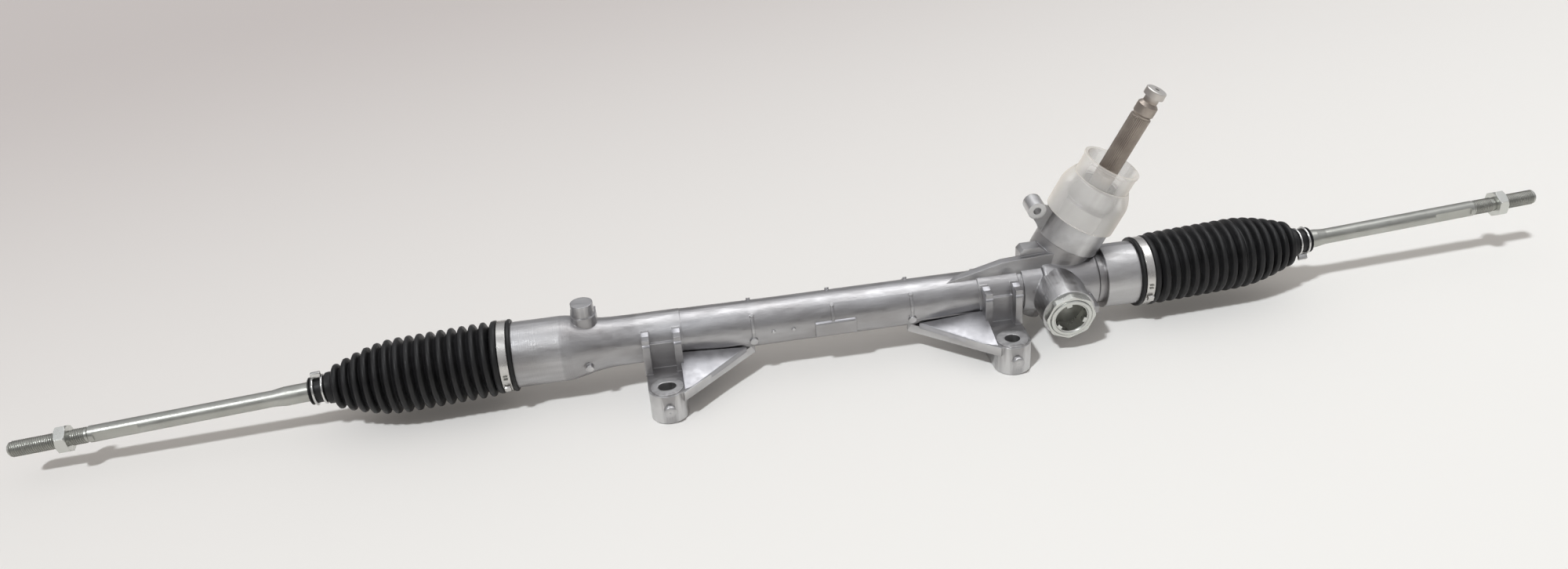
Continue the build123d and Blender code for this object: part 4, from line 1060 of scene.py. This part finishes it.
plug = [turned("yoke_plug_wall", yoke_axis, PLUG_WALL, zinc, 96)]
start_clean()
bpy.ops.mesh.primitive_cylinder_add(vertices=64, radius=PLUG_FLOOR_R * MM,
                                    depth=PLUG_FLOOR_THICK * MM,
                                    location=(0, 0, PLUG_FLOOR_AT * MM))
plug_floor = add_bevel(lay_on(named("yoke_plug_floor"), yoke_axis), 0.4)
plug.append(dress(plug_floor, thread_steel))
plug += repeated(make_plug_lug, {f"yoke_plug_lug_{number}": turn_about(yoke_axis, angle)
                                 for number, angle in enumerate(PLUG_LUG_ANGLES)})
for piece in plug:
    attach(piece, "housing")
    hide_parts("yoke_plug")
print("plug pieces", len(plug))

# %% [markdown]
# ## Threads
#
# A thread is one ridge that winds round the rod. A triangle is wound by a
# Screw modifier, its foot sunk into the rod, and its two open ends are filled.
# It stops short of the jam nut on both sides, so each rod has two.

# %% Thread helper
THREAD_START, THREAD_END, THREAD_CORE_R, THREAD_R, THREAD_PITCH = 272.0, 326.0, 5.5, 6.0, 1.5
FOOT_SUNK, FOOT_SHARE, THREAD_STEPS = 0.06, 0.86, 40


def thread(name, axis, start, stop):
    """A wound ridge on a plain cylinder, between two stations in millimetres."""
    start_clean()
    bpy.ops.mesh.primitive_circle_add(vertices=3, radius=THREAD_R * MM, fill_type="NOTHING",
                                      rotation=(pi / 2, 0, 0))
    piece = named(name)
    foot_r, foot = THREAD_CORE_R - FOOT_SUNK, THREAD_PITCH * FOOT_SHARE
    section = [(foot_r, start), (foot_r, start + foot), (THREAD_R, start + foot / 2)]
    pull_corners(piece, [Vector((radius, 0, station)) * MM for radius, station in section])
    screw = piece.modifiers.new("wind", "SCREW")
    screw.screw_offset = THREAD_PITCH * MM
    screw.iterations = int((stop - start) / THREAD_PITCH - FOOT_SHARE)
    screw.steps = screw.render_steps = THREAD_STEPS
    screw.use_merge_vertices = False
    bpy.ops.object.modifier_apply(modifier="wind")
    bpy.ops.object.mode_set(mode="EDIT")
    bpy.ops.mesh.select_all(action="SELECT")
    bpy.ops.mesh.fill_holes(sides=4)
    bpy.ops.object.mode_set(mode="OBJECT")
    recalculate(piece)
    return dress(lay_on(piece, axis), thread_steel)


print("thread helper ready, pitch", THREAD_PITCH, "mm")

# %% [markdown]
# The jam nuts sit at different places on the two rods, so the four stretches of
# thread differ in length, and each is wound on its own.

# %% Threads
NUT_LOW = {"left": 284.6, "right": 290.3}
NUT_THICK, NUT_CLEAR = 8.0, 0.6
for hand in SIDES:
    spans = [("inner", THREAD_START, NUT_LOW[hand] - NUT_CLEAR),
             ("outer", NUT_LOW[hand] + NUT_THICK + NUT_CLEAR, THREAD_END)]
    for label, start, stop in spans:
        piece = thread(f"{hand}_thread_{label}", rod_axes[hand], start, stop)
        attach(piece, hand + "_tie_rod")
        print(piece.name, "faces", len(piece.data.polygons))

# %% [markdown]
# ## Floor
#
# The rack lies on pale paper. Towards the back it is painted a little darker and
# pinker, as a painted falloff of the light. The change of colour is a ramp along the floor, so it
# needs no extra light.

# %% Floor
FLOOR_SIZE, FLOOR_DROP, FLOOR_ROUGHNESS = 60.0, 0.0005, 0.85
# Painted shade at the back of the floor, lit colour at the front.
SHADED_BACK_COLOUR, LIT_FRONT_COLOUR = (0.56, 0.525, 0.52), (0.91, 0.91, 0.90)
FORWARDS, BACK_AT, FRONT_AT = (0.48, -0.88, 0), -1.6, 0.40

start_clean()
bpy.ops.mesh.primitive_plane_add(size=FLOOR_SIZE, location=(0, 0, -FLOOR_DROP))
floor = named("floor")
paper = bpy.data.materials.new("pale_paper")
paper.use_nodes = True
tree = paper.node_tree
place = tree.nodes.new("ShaderNodeTexCoord")
across = tree.nodes.new("ShaderNodeVectorMath")
across.operation = "DOT_PRODUCT"
across.inputs[1].default_value = FORWARDS
tree.links.new(place.outputs["Object"], across.inputs[0])
# Painted shade: the ramp darkens the floor towards the back.
shade = spread(tree, across.outputs["Value"], 0.0, 1.0, BACK_AT, FRONT_AT)
shade.node.interpolation_type = "SMOOTHSTEP"
shader = tree.nodes["Principled BSDF"]
shader.inputs["Roughness"].default_value = FLOOR_ROUGHNESS
tree.links.new(blend_colours(tree, shade, SHADED_BACK_COLOUR, LIT_FRONT_COLOUR), shader.inputs["Base Color"])
floor.data.materials.append(paper)
print("floor laid")
